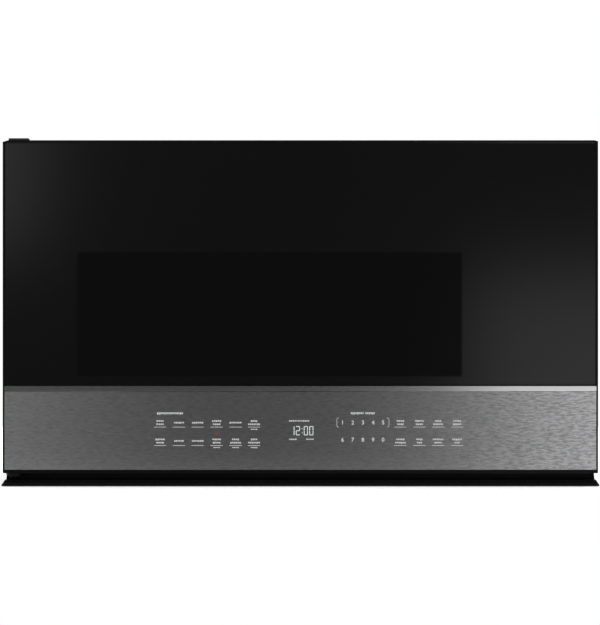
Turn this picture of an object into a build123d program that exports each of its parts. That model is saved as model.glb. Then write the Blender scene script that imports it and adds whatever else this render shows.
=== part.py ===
from build123d import *
import os

# An over the range microwave oven whose whole front is one handle-less door. Millimetres.
# X runs to the right, Y to the back and Z up. The origin is the middle of the footprint.

# ---- Overall sizes ----
DOOR_WIDTH = 758.8
DOOR_HEIGHT = 424.4
DOOR_THICKNESS = 43.2
DOOR_BOTTOM = 16.7        # door's lower edge above the base
DOOR_GAP = 2.0            # behind the closed door
CASE_SIDE = 2.4           # door beyond the case at each side
CASE_DEPTH = 362.4        # front plate to rear panel
SHEET = 1.0               # sheet steel of the case
FLANGE = 12.0             # folded edges of the case
SCREW_HEAD = 1.6
SCREW_HEAD_R = 4.0
SCREW_R = 1.9
SIDE_SCREW_END = 15.0     # from the base lip and from the back
REAR_SCREW_END = 40.0
TOP_SCREW_X = 200.0
LOUVRE_WIDTH = 58.0
LOUVRE_HEIGHT = 4.0
LOUVRE_PITCH = 12.0
LOUVRES = 5

# ---- Clearances ----
CLEAR = 0.3               # between pieces that move past each other
RUN = 0.08                # radial, shaft in bore
PAST = 1.0                # how far a cut runs past a face

# ---- Door ----
BORDER_SIDE = 2.2         # frame rim seen beside the glass
BORDER_BOTTOM = 4.1
FASCIA_HEIGHT = 99.8
STRIP_HEIGHT = 7.1
STRIP_GAP = 0.4
STRIP_PROUD = 0.8
GLASS = 4.0
FASCIA = 1.5
FRAME_WALL = 3.2
FRAME_WEB = 2.0
DOOR_CORNER = 1.6
BACK_CORNER = 8.0         # rounding that lets the hinged edge swing clear
REAR_COVER = 2.0
WINDOW_IN_X = 35.5        # cavity beyond the window at each side
WINDOW_IN_Z = 47.0
WINDOW_RIGHT = 5.4        # window's middle from the cavity's middle
WINDOW_UP = 4.6
WINDOW_MARGIN = 8.0       # frame opening beyond the window
BOARD_WIDTH = 444.0
BOARD_HEIGHT = 58.0
BOARD_X = 10.0            # control board's middle
BOARD_STANDOFF = 8.0
BOARD_EDGE = 12.0         # standoffs from the board's edges
DISPLAY = (64.0, 33.0)
DISPLAY_X = 5.0
CHIP = (22.0, 16.0, 4.0)  # width, height and thickness
CHIP_X = (-150.0, -90.0, 120.0, 170.0)

# ---- Oven cavity ----
CAVITY_BACK = 24.4        # from the cavity to the case's back
CAVITY_FLOOR = 90.0
CAVITY_SIDE = 52.0        # from the case's left side
BAY_WIDTH = 142.0         # from the cavity to the case's right side
HOOD_SPACE = 101.4        # from the cavity's roof to the case's top
CAVITY_CORNER = 6.0

# ---- Door's choke and window ----
PANEL_SHEET = 0.8
CHOKE_LAND = 6.0          # flat land beyond the cavity's mouth
CHOKE_WIDTH = 27.0
CHOKE_DEPTH = 20.0
CHOKE_COVER = 1.5
INNER_WINDOW_MARGIN = 20.0
SCREEN_PITCH = 18.0
SCREEN_HOLE_R = 5.0

# ---- Hinge ----
HINGE_FROM_EDGE = 14.4
HINGE_FROM_FACE = 14.2
PIN_R = 4.0
PIN_HEAD_R = 6.5
PIN_DEPTH = 14.0
BUSH_R = 6.0
BUSH_LENGTH = 16.0
HINGE_BLOCK = 26.0
HINGE_ARM_WIDTH = 22.0
UPPER_ARM = 1.6
LOWER_ARM = 3.0
UPPER_ARM_BACK = 35.0     # how far the upper arm runs over the case
HINGE_LEG = 56.0
HINGE_SCREW = 11.0        # between the upper arm's two screws
HINGE_COVER = 0.7
HINGE_COVER_WIDTH = 26.8
HINGE_COVER_DEPTH = 60.0

# ---- Base ----
LIP_SIDE = 2.35           # lip beyond the door at each side
LIP_HEIGHT = 8.0
LIP_FRONT = 4.3           # upright part of the flared lip
LIP_WALL = 2.5
LIP_RETURN = 24.0         # how far the lip wraps back along the case
PAN_RIM = 12.0
FILTER_SIDE = 47.0        # filter's end from the case's side
FILTER_BETWEEN = 100.0
FILTER_DEPTH = 140.0
FILTER_THICKNESS = 9.0
FILTER_LEDGE = 6.0
FILTER_Y = 20.0
FILTER_TRAVEL = 6.0
FILTER_RAIL = 8.0
FILTER_MESH = 4.5
LAMP_FROM_FRONT = 37.0
LAMP_WIDTH = 64.0
LAMP_DEPTH = 26.0
LAMP_LENS = 3.0
LAMP_EDGE = 4.0
LAMP_BOARD = 1.6

# ---- Component bay, right of the cavity ----
TRAY_Z = 60.0
WAVEGUIDE_DEPTH = 30.0
WAVEGUIDE_LENGTH = 120.0
WAVEGUIDE_HEIGHT = 100.0
WAVEGUIDE_Y = 60.0
WAVEGUIDE_Z = 280.0
PORT_LENGTH = 80.0
PORT_HEIGHT = 60.0
ANTENNA_R = 8.0
ANTENNA_HOLE_R = 9.5
ANTENNA_REACH = 20.0      # into the waveguide
MICA = 1.5
MICA_EDGE = 6.0
CAVITY_LAMP_Y = -60.0
CAVITY_LAMP_Z = 310.0
LAMP_HOLE_R = 8.0
LAMP_BULB_R = 7.0
LAMP_SOCKET_R = 16.0
LAMP_SOCKET_DEPTH = 15.0
LAMP_COVER = 1.5
MAGNETRON = 80.0          # square yoke
MAGNETRON_DEPTH = 66.0
MAGNETRON_CORE_R = 20.0
MAGNETRON_FIN = 0.6
MAGNETRON_FINS = 6
MAGNETRON_BOX = 26.0
MAGNETRON_BOX_EDGE = 12.0 # box's side in from the yoke's
YOKE_WALL = 2.0
TRANSFORMER = (95.0, 72.0, 80.0)
TRANSFORMER_LEG = 24.0
WINDING_OUT = 12.0        # winding beyond the core, front and back
TRANSFORMER_Y = -14.0
CAPACITOR_R = 17.0
CAPACITOR_WIDTH = 52.0
CAPACITOR_LENGTH = 92.0
CAPACITOR_Y = -98.0
CAPACITOR_X = 12.0        # from the bay's middle
TERMINAL = (6.0, 6.0, 1.0)
DIODE_R = 3.0
FAN_R = 50.0
FAN_GAP = 4.0
FAN_HUB_R = 13.0
FAN_DEPTH = 16.0
FAN_BLADES = 5
FAN_SHROUD = 130.0
FAN_SHAFT_R = 3.0
FAN_FROM_BACK = 63.4
FAN_MOTOR = 58.0
FAN_MOTOR_DEPTH = 22.0
FAN_ARM = (6.0, 12.0, 2.0)
FAN_PITCH = 30.0          # blade angle, degrees
FAN_BLADE = 1.5
FAN_CHORD = 26.0
BOARD = 1.6
STANDOFF = 4.0
STANDOFF_R = 3.0
FILTER_BOARD_FROM_TOP = 17.4
FILTER_BOARD_LENGTH = 96.0
FILTER_BOARD_HEIGHT = 74.0
POWER_BOARD_ABOVE_TRAY = 29.0
POWER_BOARD_LENGTH = 108.0
POWER_BOARD_HEIGHT = 106.0
POWER_BOARD_FRONT = 20.0
# Tall parts on a board: place along it, place up it, square side, height
FILTER_PARTS = [(26, 36, 30, 22), (60, 24, 16, 16), (60, 52, 16, 16), (84, 36, 10, 12)]
POWER_PARTS = [(20, 30, 20, 16), (46, 30, 20, 16), (72, 30, 20, 16), (60, 76, 32, 26)]
CUTOUT_R = 8.0
CUTOUT_HEIGHT = 12.0

# ---- Hood blower and ducts, above the cavity ----
WHEEL_R = 36.0
WHEEL_WIDTH = 52.0
WHEEL_RING = 1.5
WHEEL_HUB_R = 8.0
WHEEL_HUB = 17.0
WHEEL_BLADE = 1.0
WHEEL_BLADE_TURN = 30.0   # blade angle, degrees
WHEEL_BLADES = 24
WHEEL_BLADE_DEPTH = 8.0
BLOWER_R = 44.0
BLOWER_WALL = 1.5
BLOWER_INTAKE_R = 28.0
BLOWER_FROM_BACK = 57.4
BLOWER_FOOT = 3.0
BLOWER_MOTOR_R = 32.0
BLOWER_MOTOR_LENGTH = 64.0
BLOWER_SADDLE = 40.0
BLOWER_SHAFT_R = 4.0
BLOWER_SPACING = 76.0     # from the middle to each wheel's middle
MOUTH_LENGTH = 58.0       # from the shaft forward to the blower's mouth
GRILLE_SIDE = 79.0        # grille's end from the case's side
GRILLE_DEPTH = 34.0
GRILLE_FROM_FRONT = 23.0
GRILLE_RIM = 4.0
GRILLE_SLOTS = 24
GRILLE_BAR = 5.0
CHARCOAL_HEIGHT = 16.0
OUTLET_WIDTH = 254.0      # 10 inch
OUTLET_DEPTH = 82.5       # 3 1/4 inch
OUTLET_EDGE = 9.0         # cover plate beyond the opening
OUTLET_INSET = 14.0       # opening's edge from the case's back and top
OUTLET_PLATE = 1.0

# ---- Fastening the whole oven ----
BOLT_SIDE = 47.0          # bolt from the case's side
BOLT_FROM_BACK = 270.0
BOLT_HOLE_R = 4.0
BOLT_THREAD_R = 3.2
BOLT_BLOCK = (44.0, 30.0, 8.0)
HOOK_SLOT_LENGTH = 40.0
HOOK_SLOT_R = 3.5
HOOK_SPACING = 500.0
HOOK_Z = 34.0
GLAND_R = 11.0
GLAND_FLANGE = 2.0
GLAND_RIM = 4.0
GLAND_LENGTH = 16.0
GLAND_BORE_R = 4.5
GLAND_SIDE = 77.0         # gland from the case's side
GLAND_FROM_BACK = 43.4

# ---- Turntable ----
TRAY_R = 159.0
TRAY_PLATE = 5.0
TRAY_RIM = 10.0
ROLLER_R = 9.0
ROLLER_WIDTH = 8.0
ROLLER_TRACK = 112.0      # from the middle to a roller's middle
ROLLER_COUNT = 3
AXLE_R = 2.0
RING_WIDTH = 10.0
RING_HEIGHT = 7.0
COUPLER_R = 18.0
COUPLER_HEIGHT = 7.0
COUPLER_HUB_R = 9.0
COUPLER_LOBES = 3
SHAFT_HOLE_R = 4.5
SHAFT_R = 3.5
SHAFT_DROP = 12.0         # shaft's length inside the motor
TURN_MOTOR_R = 25.0
TURN_MOTOR_HEIGHT = 20.0

# ---- Latch ----
LATCH_RIGHT = 55.0        # from the cavity's right side
LATCH_WIDTH = 8.0
LATCH_THICKNESS = 8.0
LATCH_INSET = 4.0         # bar in front of the door's rear cover
LATCH_FINGER = 6.0
LATCH_FINGER_HEIGHT = 9.0
LATCH_REACH = 20.0        # fingers' length behind the door
LATCH_BARB = 3.0
LATCH_SPACING = 76.0
LATCH_MARGIN = 22.0
LATCH_TRAVEL = 4.0
LATCH_SIDE_ROOM = 2.6     # lets the fingers swing out of their slots
LATCH_TOP_ROOM = 3.2
LATCH_BOARD_WIDTH = 56.0
LATCH_BOARD = 3.0
SPRING_R = 4.0
SPRING_WIRE_R = 0.5
SPRING_LENGTH = 22.0
SPRING_TURNS = 6
GUIDE_WALL = 3.0
GUIDE_HEIGHT = 10.0
SWITCH = (10.3, 16.0, 28.0)
BUTTON_WIDTH = 4.0
BUTTON_OUT = 3.0
BUTTON_TRAVEL = 1.5
BUTTON_IN = 5.0
SPRING_SEAT = 12.0

# ---- Places worked out from the sizes ----
CASE_WIDTH = DOOR_WIDTH - 2 * CASE_SIDE
LIP_WIDTH = DOOR_WIDTH + 2 * LIP_SIDE
DEPTH = STRIP_PROUD + DOOR_THICKNESS + DOOR_GAP + CASE_DEPTH + SCREW_HEAD
FRONT_Y = -DEPTH / 2
BACK_Y = DEPTH / 2
FACE_Y = FRONT_Y + STRIP_PROUD
WEB_Y = FACE_Y + GLASS
DOOR_BACK_Y = FACE_Y + DOOR_THICKNESS
CASE_Y = DOOR_BACK_Y + DOOR_GAP
PLATE_BACK_Y = CASE_Y + SHEET
REAR_Y = BACK_Y - SCREW_HEAD
WRAP_BACK_Y = REAR_Y - SHEET
DOOR_TOP = DOOR_BOTTOM + DOOR_HEIGHT
CASE_TOP = DOOR_TOP + CLEAR
ROOF_Z = CASE_TOP - SHEET
CAVITY_WIDTH = CASE_WIDTH - CAVITY_SIDE - BAY_WIDTH
CAVITY_DEPTH = CASE_DEPTH - CAVITY_BACK
CAVITY_HEIGHT = CASE_TOP - HOOD_SPACE - CAVITY_FLOOR
WINDOW_WIDTH = CAVITY_WIDTH - 2 * WINDOW_IN_X
WINDOW_HEIGHT = CAVITY_HEIGHT - 2 * WINDOW_IN_Z
FILTER_WIDTH = (CASE_WIDTH - FILTER_BETWEEN) / 2 - FILTER_SIDE
FILTER_X = (FILTER_WIDTH + FILTER_BETWEEN) / 2
GRILLE_WIDTH = CASE_WIDTH - 2 * GRILLE_SIDE
GRILLE_Y = CASE_Y + GRILLE_FROM_FRONT
BOLT_SPACING = CASE_WIDTH - 2 * BOLT_SIDE
GLAND_X = CASE_WIDTH / 2 - GLAND_SIDE
GLAND_Y = REAR_Y - GLAND_FROM_BACK
LAMP_Y = CASE_Y + LAMP_FROM_FRONT
FAN_Y = REAR_Y - FAN_FROM_BACK
BLOWER_Y = REAR_Y - BLOWER_FROM_BACK


def around(middle, size):
    """The (low, high) span of a length centred on a place."""
    return (middle - size / 2, middle + size / 2)


def grown(span, margin):
    """A span made longer by a margin at both ends."""
    return (span[0] - margin, span[1] + margin)


def centre(span):
    """The middle of a span."""
    return (span[0] + span[1]) / 2


def block(x, y, z):
    """A box that fills the three spans."""
    return Pos(centre(x), centre(y), centre(z)) * Box(x[1] - x[0], y[1] - y[0], z[1] - z[0])


def rod(axis, radius, span, at):
    """A round rod that fills a span of one axis, at a place on the other two."""
    turn = {"x": Rot(0, 90, 0), "y": Rot(90, 0, 0), "z": Rot(0, 0, 0)}[axis]
    place = list(at)
    place.insert("xyz".index(axis), centre(span))
    return Pos(*place) * turn * Cylinder(radius, span[1] - span[0])


def rounded(shape, axis, radius):
    """The shape with all its edges along one axis rounded."""
    return fillet(shape.edges().filter_by(axis), radius)


def write(name, *solids):
    """Write one sub-part; its solids may touch but stay separate."""
    shape = solids[0]
    if len(solids) > 1:
        shape = Compound(children=list(solids))
    export_step(shape, f"parts/{name}.step")


CASE_X = around(0, CASE_WIDTH)
INNER_X = grown(CASE_X, -SHEET)
BODY_Y = (PLATE_BACK_Y, WRAP_BACK_Y)
DOOR_X = around(0, DOOR_WIDTH)
DOOR_Z = (DOOR_BOTTOM, DOOR_TOP)

CAVITY_X = (CASE_X[0] + CAVITY_SIDE, CASE_X[0] + CAVITY_SIDE + CAVITY_WIDTH)
CAVITY_Y = (PLATE_BACK_Y, PLATE_BACK_Y + CAVITY_DEPTH)
CAVITY_Z = (CAVITY_FLOOR, CAVITY_FLOOR + CAVITY_HEIGHT)
CAVITY_ROOF = CAVITY_Z[1] + SHEET
BAY_X = (CAVITY_X[1] + SHEET, INNER_X[1])
TURN_X = centre(CAVITY_X)
TURN_Y = centre(CAVITY_Y)

GLASS_X = grown(DOOR_X, -BORDER_SIDE)
FASCIA_Z = (DOOR_Z[0] + BORDER_BOTTOM, DOOR_Z[0] + BORDER_BOTTOM + FASCIA_HEIGHT)
STRIP_Z = (FASCIA_Z[1] + STRIP_GAP, FASCIA_Z[1] + STRIP_GAP + STRIP_HEIGHT)
GLASS_Z = (STRIP_Z[1] + STRIP_GAP, DOOR_Z[1] - BORDER_SIDE)
WINDOW_X = around(TURN_X + WINDOW_RIGHT, WINDOW_WIDTH)
WINDOW_Z = around(centre(CAVITY_Z) + WINDOW_UP, WINDOW_HEIGHT)

LAND_X = grown(CAVITY_X, CHOKE_LAND)
LAND_Z = grown(CAVITY_Z, CHOKE_LAND)
CHOKE_X = grown(LAND_X, CHOKE_WIDTH)
CHOKE_Z = grown(LAND_Z, CHOKE_WIDTH)
PANEL_BACK_Y = DOOR_BACK_Y - CHOKE_COVER
PANEL_FRONT_Y = PANEL_BACK_Y - CHOKE_DEPTH
COVER_FRONT_Y = DOOR_BACK_Y - REAR_COVER

HINGE_X = DOOR_X[0] + HINGE_FROM_EDGE
HINGE_Y = FACE_Y + HINGE_FROM_FACE
UPPER_ARM_Z = (CASE_TOP, CASE_TOP + UPPER_ARM)
LOWER_ARM_Z = (DOOR_BOTTOM - CLEAR - LOWER_ARM, DOOR_BOTTOM - CLEAR)
BUSH_HOLE_R = PIN_R + RUN
BOARD_SPAN = around(BOARD_X, BOARD_WIDTH)
BOARD_Z = around(centre(FASCIA_Z), BOARD_HEIGHT)
BOARD_Y = WEB_Y + FRAME_WEB + BOARD_STANDOFF

BLOWER_Z = CAVITY_ROOF + BLOWER_FOOT + BLOWER_R + BLOWER_WALL
MOUTH_Y = BLOWER_Y - MOUTH_LENGTH
DUCT_Z = (BLOWER_Z, BLOWER_Z + BLOWER_R + BLOWER_WALL)
PLENUM_Y = around(GRILLE_Y, GRILLE_DEPTH + 2 * GRILLE_RIM)
OUTLET_X = around(0, OUTLET_WIDTH)
TOP_OUTLET_Y = (WRAP_BACK_Y - OUTLET_INSET - OUTLET_DEPTH, WRAP_BACK_Y - OUTLET_INSET)
REAR_OUTLET_Z = (ROOF_Z - OUTLET_INSET - OUTLET_DEPTH, ROOF_Z - OUTLET_INSET)

WAVEGUIDE_X = (BAY_X[0], BAY_X[0] + WAVEGUIDE_DEPTH)
MAGNETRON_X = (WAVEGUIDE_X[1], WAVEGUIDE_X[1] + MAGNETRON_DEPTH)
FAN_X = centre(BAY_X)
FAN_SHROUD_Y = (FAN_Y, FAN_Y + SHEET)
FAN_BLADE_Y = (FAN_SHROUD_Y[1] + FAN_GAP, FAN_SHROUD_Y[1] + FAN_GAP + FAN_DEPTH)
FAN_MOTOR_Y = (FAN_BLADE_Y[1] + FAN_GAP, FAN_BLADE_Y[1] + FAN_GAP + FAN_MOTOR_DEPTH)

ROLLER_Z = CAVITY_Z[0] + CLEAR + ROLLER_R
TRAY_BOTTOM = ROLLER_Z + ROLLER_R + CLEAR
COUPLER_Z = (TRAY_BOTTOM - COUPLER_HEIGHT, TRAY_BOTTOM)
LINER_BOTTOM = CAVITY_Z[0] - SHEET

LATCH_BACK_Y = COVER_FRONT_Y - LATCH_INSET
LATCH_BAR_Y = (LATCH_BACK_Y - LATCH_THICKNESS, LATCH_BACK_Y)
LATCH_TIP_Y = DOOR_BACK_Y + LATCH_REACH
LATCH_X = CAVITY_X[1] + LATCH_RIGHT
LATCH_MIDDLE = centre(CAVITY_Z)
LATCH_HEIGHTS = [LATCH_MIDDLE + step * LATCH_SPACING for step in (-1, 0, 1)]
LATCH_BAR_Z = (LATCH_HEIGHTS[0] - LATCH_MARGIN, LATCH_HEIGHTS[-1] + LATCH_MARGIN)
LATCH_BOARD_Y = (PLATE_BACK_Y, PLATE_BACK_Y + LATCH_BOARD)
SWITCH_Y = (LATCH_TIP_Y + CLEAR + BUTTON_OUT, LATCH_TIP_Y + CLEAR + BUTTON_OUT + SWITCH[1])
LATCH_BOARD_X = around(LATCH_X, LATCH_BOARD_WIDTH)
LATCH_BOARD_Z = grown(LATCH_BAR_Z, GUIDE_HEIGHT)


# ---- Case ----

def outlet_screws():
    """Where the screws of an outlet's cover go, from the opening's middle."""
    return [(side * (OUTLET_WIDTH + OUTLET_EDGE) / 2, end * (OUTLET_DEPTH + OUTLET_EDGE) / 2)
            for side in (-1, 1) for end in (-1, 1)]


def screw_places():
    """Each case screw as (axis, outer face, way out, the place on the other two axes)."""
    places = []
    for side in (0, 1):
        out = (-1, 1)[side]
        for y in (CASE_Y + LIP_RETURN + SIDE_SCREW_END, centre(BODY_Y), WRAP_BACK_Y - SIDE_SCREW_END):
            places.append(("x", CASE_X[side], out, (y, PAN_RIM / 2)))
        for z in (REAR_SCREW_END, CASE_TOP / 2, CASE_TOP - REAR_SCREW_END):
            places.append(("y", REAR_Y, 1, (CASE_X[side] - out * FLANGE / 2, z)))
        places.append(("y", REAR_Y, 1, (out * TOP_SCREW_X, CASE_TOP - FLANGE / 2)))
    for x, y in outlet_screws():
        places.append(("z", CASE_TOP + OUTLET_PLATE, 1, (x, centre(TOP_OUTLET_Y) + y)))
        places.append(("y", REAR_Y + OUTLET_PLATE, 1, (x, centre(REAR_OUTLET_Z) + y)))
    for x in (-1, 1):
        spot = (HINGE_X + x * HINGE_SCREW / 2, CASE_Y + UPPER_ARM_BACK - FLANGE / 2)
        places.append(("z", UPPER_ARM_Z[1], 1, spot))
    return places


def screw_holes():
    """The holes that the case screws run through."""
    holes = []
    for axis, face, out, at in screw_places():
        ends = sorted((face + out * PAST, face - out * FLANGE))
        holes.append(rod(axis, SCREW_R + RUN, ends, at))
    return holes


def case_screws():
    """Pan head screws: a flat round head outside and a shank through the sheets."""
    screws = []
    for axis, face, out, at in screw_places():
        low_head = SCREW_HEAD
        if axis == "y":
            low_head = REAR_Y + SCREW_HEAD - face
        head = rod(axis, SCREW_HEAD_R, sorted((face, face + out * low_head)), at)
        shank = rod(axis, SCREW_R, sorted((face + out * low_head / 2, face - out * FLANGE / 2)), at)
        screws.append(head + shank)
    return screws


def outer_case():
    """The folded sheet over the top and down both sides, with a flange at the back."""
    shell = block(CASE_X, (CASE_Y, WRAP_BACK_Y), (0, CASE_TOP))
    hollow = block(INNER_X, (CASE_Y - PAST, WRAP_BACK_Y - SHEET), (-PAST, ROOF_Z))
    rear_mouth = block(grown(CASE_X, -FLANGE), (CASE_Y, REAR_Y), (-PAST, CASE_TOP - FLANGE))
    pan_notch = block(INNER_X, (CASE_Y, REAR_Y), (-PAST, PAN_RIM))
    vent = block(around(0, GRILLE_WIDTH), around(GRILLE_Y, GRILLE_DEPTH), (ROOF_Z - PAST, CASE_TOP + PAST))
    outlet = block(OUTLET_X, TOP_OUTLET_Y, (ROOF_Z - PAST, CASE_TOP + PAST))
    gland = rod("z", GLAND_R, (ROOF_Z - PAST, CASE_TOP + PAST), (GLAND_X, GLAND_Y))
    bolts = [rod("z", BOLT_HOLE_R, (ROOF_Z - PAST, CASE_TOP + PAST), (x, REAR_Y - BOLT_FROM_BACK))
             for x in around(0, BOLT_SPACING)]
    return shell - [hollow, rear_mouth, pan_notch, vent, outlet, gland] - bolts - screw_holes()


def rear_panel():
    """The flat back, with the duct opening, slots for the wall plate's hooks and fan louvres."""
    panel = block(CASE_X, (WRAP_BACK_Y, REAR_Y), (0, CASE_TOP))
    through = (WRAP_BACK_Y - PAST, REAR_Y + PAST)
    outlet = block(OUTLET_X, through, REAR_OUTLET_Z)
    slots = []
    for x in around(0, HOOK_SPACING):
        straight = block(around(x, HOOK_SLOT_LENGTH - 2 * HOOK_SLOT_R), through, around(HOOK_Z, 2 * HOOK_SLOT_R))
        ends = [rod("y", HOOK_SLOT_R, through, (end, HOOK_Z))
                for end in around(x, HOOK_SLOT_LENGTH - 2 * HOOK_SLOT_R)]
        slots.append(straight + ends)
    first = WAVEGUIDE_Z - (LOUVRES - 1) / 2 * LOUVRE_PITCH
    louvres = [block(around(FAN_X, LOUVRE_WIDTH), through, around(first + row * LOUVRE_PITCH, LOUVRE_HEIGHT))
               for row in range(LOUVRES)]
    return panel - outlet - slots - louvres - screw_holes()


def front_plate():
    """The upright sheet round the oven's mouth, slotted for the latch and the lower hinge."""
    plate = block(INNER_X, (CASE_Y, PLATE_BACK_Y), (0, ROOF_Z))
    through = (CASE_Y - PAST, PLATE_BACK_Y + PAST)
    mouth = rounded(block(CAVITY_X, through, CAVITY_Z), Axis.Y, CAVITY_CORNER)
    hinge = block(around(HINGE_X, HINGE_ARM_WIDTH), through, LOWER_ARM_Z)
    return plate - [mouth, hinge] - latch_slots(through)


def latch_slots(through):
    """Openings for the three latch fingers, with room for their lift and their swing."""
    slots = []
    for z in LATCH_HEIGHTS:
        low = z - LATCH_FINGER_HEIGHT / 2 - LATCH_BARB - CLEAR
        high = z + LATCH_FINGER_HEIGHT / 2 + LATCH_TRAVEL + CLEAR + LATCH_TOP_ROOM
        slots.append(block(around(LATCH_X, LATCH_FINGER + 2 * LATCH_SIDE_ROOM), through, (low, high)))
    return slots


def base_pan():
    """The folded bottom sheet, open over the grease filters and the cooktop lamps."""
    pan = block(INNER_X, BODY_Y, (0, PAN_RIM))
    pan -= block(grown(INNER_X, -SHEET), grown(BODY_Y, -SHEET), (SHEET, PAN_RIM + PAST))
    low = (-PAST, SHEET + PAST)
    for side in (-1, 1):
        opening_x = around(side * FILTER_X, FILTER_WIDTH - 2 * FILTER_LEDGE)
        opening_y = around(FILTER_Y, FILTER_DEPTH - 2 * FILTER_LEDGE - FILTER_TRAVEL)
        pan -= block(opening_x, opening_y, low)
        pan -= block(around(side * FILTER_X, LAMP_WIDTH), around(LAMP_Y, LAMP_DEPTH), low)
    return pan - screw_holes()


def base_lip():
    """The moulded front edge of the base: flared to the front and sides, hollow beneath."""
    back_y = CASE_Y + LIP_RETURN
    wide = around(0, LIP_WIDTH)
    upright = block(wide, (FRONT_Y, back_y), (0, LIP_FRONT))
    flare_in = (LIP_WIDTH - CASE_WIDTH) / 2 - CLEAR
    low_face = Pos(0, centre((FRONT_Y, back_y)), LIP_FRONT) * Rectangle(LIP_WIDTH, back_y - FRONT_Y)
    top_y = (FRONT_Y + flare_in, back_y)
    top_face = Pos(0, centre(top_y), LIP_HEIGHT) * Rectangle(LIP_WIDTH - 2 * flare_in, top_y[1] - top_y[0])
    flare = loft([low_face.face(), top_face.face()], ruled=True)
    case_room = block(CASE_X, (CASE_Y, back_y + PAST), (-PAST, LIP_HEIGHT + PAST))
    underside = block(grown(wide, -2 * LIP_WALL), (FRONT_Y + 2 * LIP_WALL, CASE_Y - LIP_WALL),
                      (-PAST, LIP_HEIGHT - LIP_WALL))
    return upright + flare - case_room - underside


def grille_slots():
    """The vent grille's slots, side by side along its length."""
    pitch = GRILLE_WIDTH / GRILLE_SLOTS
    through = (ROOF_Z - SHEET - PAST, CASE_TOP + PAST)
    first = -GRILLE_WIDTH / 2 + pitch / 2
    depth = around(GRILLE_Y, GRILLE_DEPTH - 2 * GRILLE_BAR)
    return [block(around(first + i * pitch, pitch - GRILLE_BAR), depth, through) for i in range(GRILLE_SLOTS)]


def top_vent_grille():
    """The slotted plate that the hood air leaves by, in the roof behind the door's top."""
    plug_x = grown(around(0, GRILLE_WIDTH), -CLEAR)
    plug_y = grown(around(GRILLE_Y, GRILLE_DEPTH), -CLEAR)
    rim_x = grown(around(0, GRILLE_WIDTH), GRILLE_RIM)
    rim = block(rim_x, PLENUM_Y, (ROOF_Z - SHEET, ROOF_Z))
    return rim + block(plug_x, plug_y, (ROOF_Z - SHEET, CASE_TOP)) - grille_slots()


def outlet_covers():
    """The two plates that close the duct openings in the roof and the back."""
    wide = grown(OUTLET_X, OUTLET_EDGE)
    top = block(wide, grown(TOP_OUTLET_Y, OUTLET_EDGE), (CASE_TOP, CASE_TOP + OUTLET_PLATE))
    rear = block(wide, (REAR_Y, REAR_Y + OUTLET_PLATE), grown(REAR_OUTLET_Z, OUTLET_EDGE))
    return [top - screw_holes(), rear - screw_holes()]


def mount_brackets():
    """The two tapped blocks under the roof that take the cabinet bolts."""
    blocks = []
    for x in around(0, BOLT_SPACING):
        y = REAR_Y - BOLT_FROM_BACK
        body = block(around(x, BOLT_BLOCK[0]), around(y, BOLT_BLOCK[1]), (ROOF_Z - BOLT_BLOCK[2], ROOF_Z))
        blocks.append(body - rod("z", BOLT_THREAD_R, (ROOF_Z - BOLT_BLOCK[2] - PAST, ROOF_Z + PAST), (x, y)))
    return blocks


def cord_gland():
    """The flanged bush that the supply cord leaves the roof by."""
    at = (GLAND_X, GLAND_Y)
    flange = rod("z", GLAND_R + GLAND_RIM, (CASE_TOP, CASE_TOP + GLAND_FLANGE), at)
    barrel = rod("z", GLAND_R - CLEAR, (CASE_TOP - GLAND_LENGTH, CASE_TOP + GLAND_FLANGE), at)
    bore = rod("z", GLAND_BORE_R, (CASE_TOP - GLAND_LENGTH - PAST, CASE_TOP + GLAND_FLANGE + PAST), at)
    return flange + barrel - bore


def component_tray():
    """The sheet that carries the electrical parts above the hood's air space."""
    return block(BAY_X, (PLATE_BACK_Y, WRAP_BACK_Y - SHEET), (TRAY_Z, TRAY_Z + SHEET))


# ---- Oven cavity ----

def cavity_liner():
    """The welded oven box, open at the front: the folded wrap and its back plate."""
    outer = block(grown(CAVITY_X, SHEET), CAVITY_Y, grown(CAVITY_Z, SHEET))
    hollow = block(CAVITY_X, grown(CAVITY_Y, PAST), CAVITY_Z)
    wrap = rounded(outer, Axis.Y, CAVITY_CORNER + SHEET) - rounded(hollow, Axis.Y, CAVITY_CORNER)
    back = block(grown(CAVITY_X, SHEET), (CAVITY_Y[1], CAVITY_Y[1] + SHEET), grown(CAVITY_Z, SHEET))
    port = block(grown(WAVEGUIDE_X, WAVEGUIDE_DEPTH), around(WAVEGUIDE_Y, PORT_LENGTH),
                 around(WAVEGUIDE_Z, PORT_HEIGHT))
    shaft = rod("z", SHAFT_HOLE_R, (LINER_BOTTOM - PAST, CAVITY_Z[0] + PAST), (TURN_X, TURN_Y))
    lamp = rod("x", LAMP_HOLE_R, (CAVITY_X[1] - PAST, BAY_X[0] + PAST), (CAVITY_LAMP_Y, CAVITY_LAMP_Z))
    return [wrap - [port, shaft, lamp], rounded(back, Axis.Y, CAVITY_CORNER + SHEET)]


def cavity_lamp():
    """The lamp in its socket outside the wall, and its cover inside."""
    at = (CAVITY_LAMP_Y, CAVITY_LAMP_Z)
    socket = rod("x", LAMP_SOCKET_R, (BAY_X[0], BAY_X[0] + LAMP_SOCKET_DEPTH), at)
    bulb = rod("x", LAMP_BULB_R, (CAVITY_X[1], BAY_X[0] + PAST), at)
    cover = rod("x", LAMP_SOCKET_R, (CAVITY_X[1] - LAMP_COVER, CAVITY_X[1]), at)
    return [socket + bulb, cover]


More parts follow.
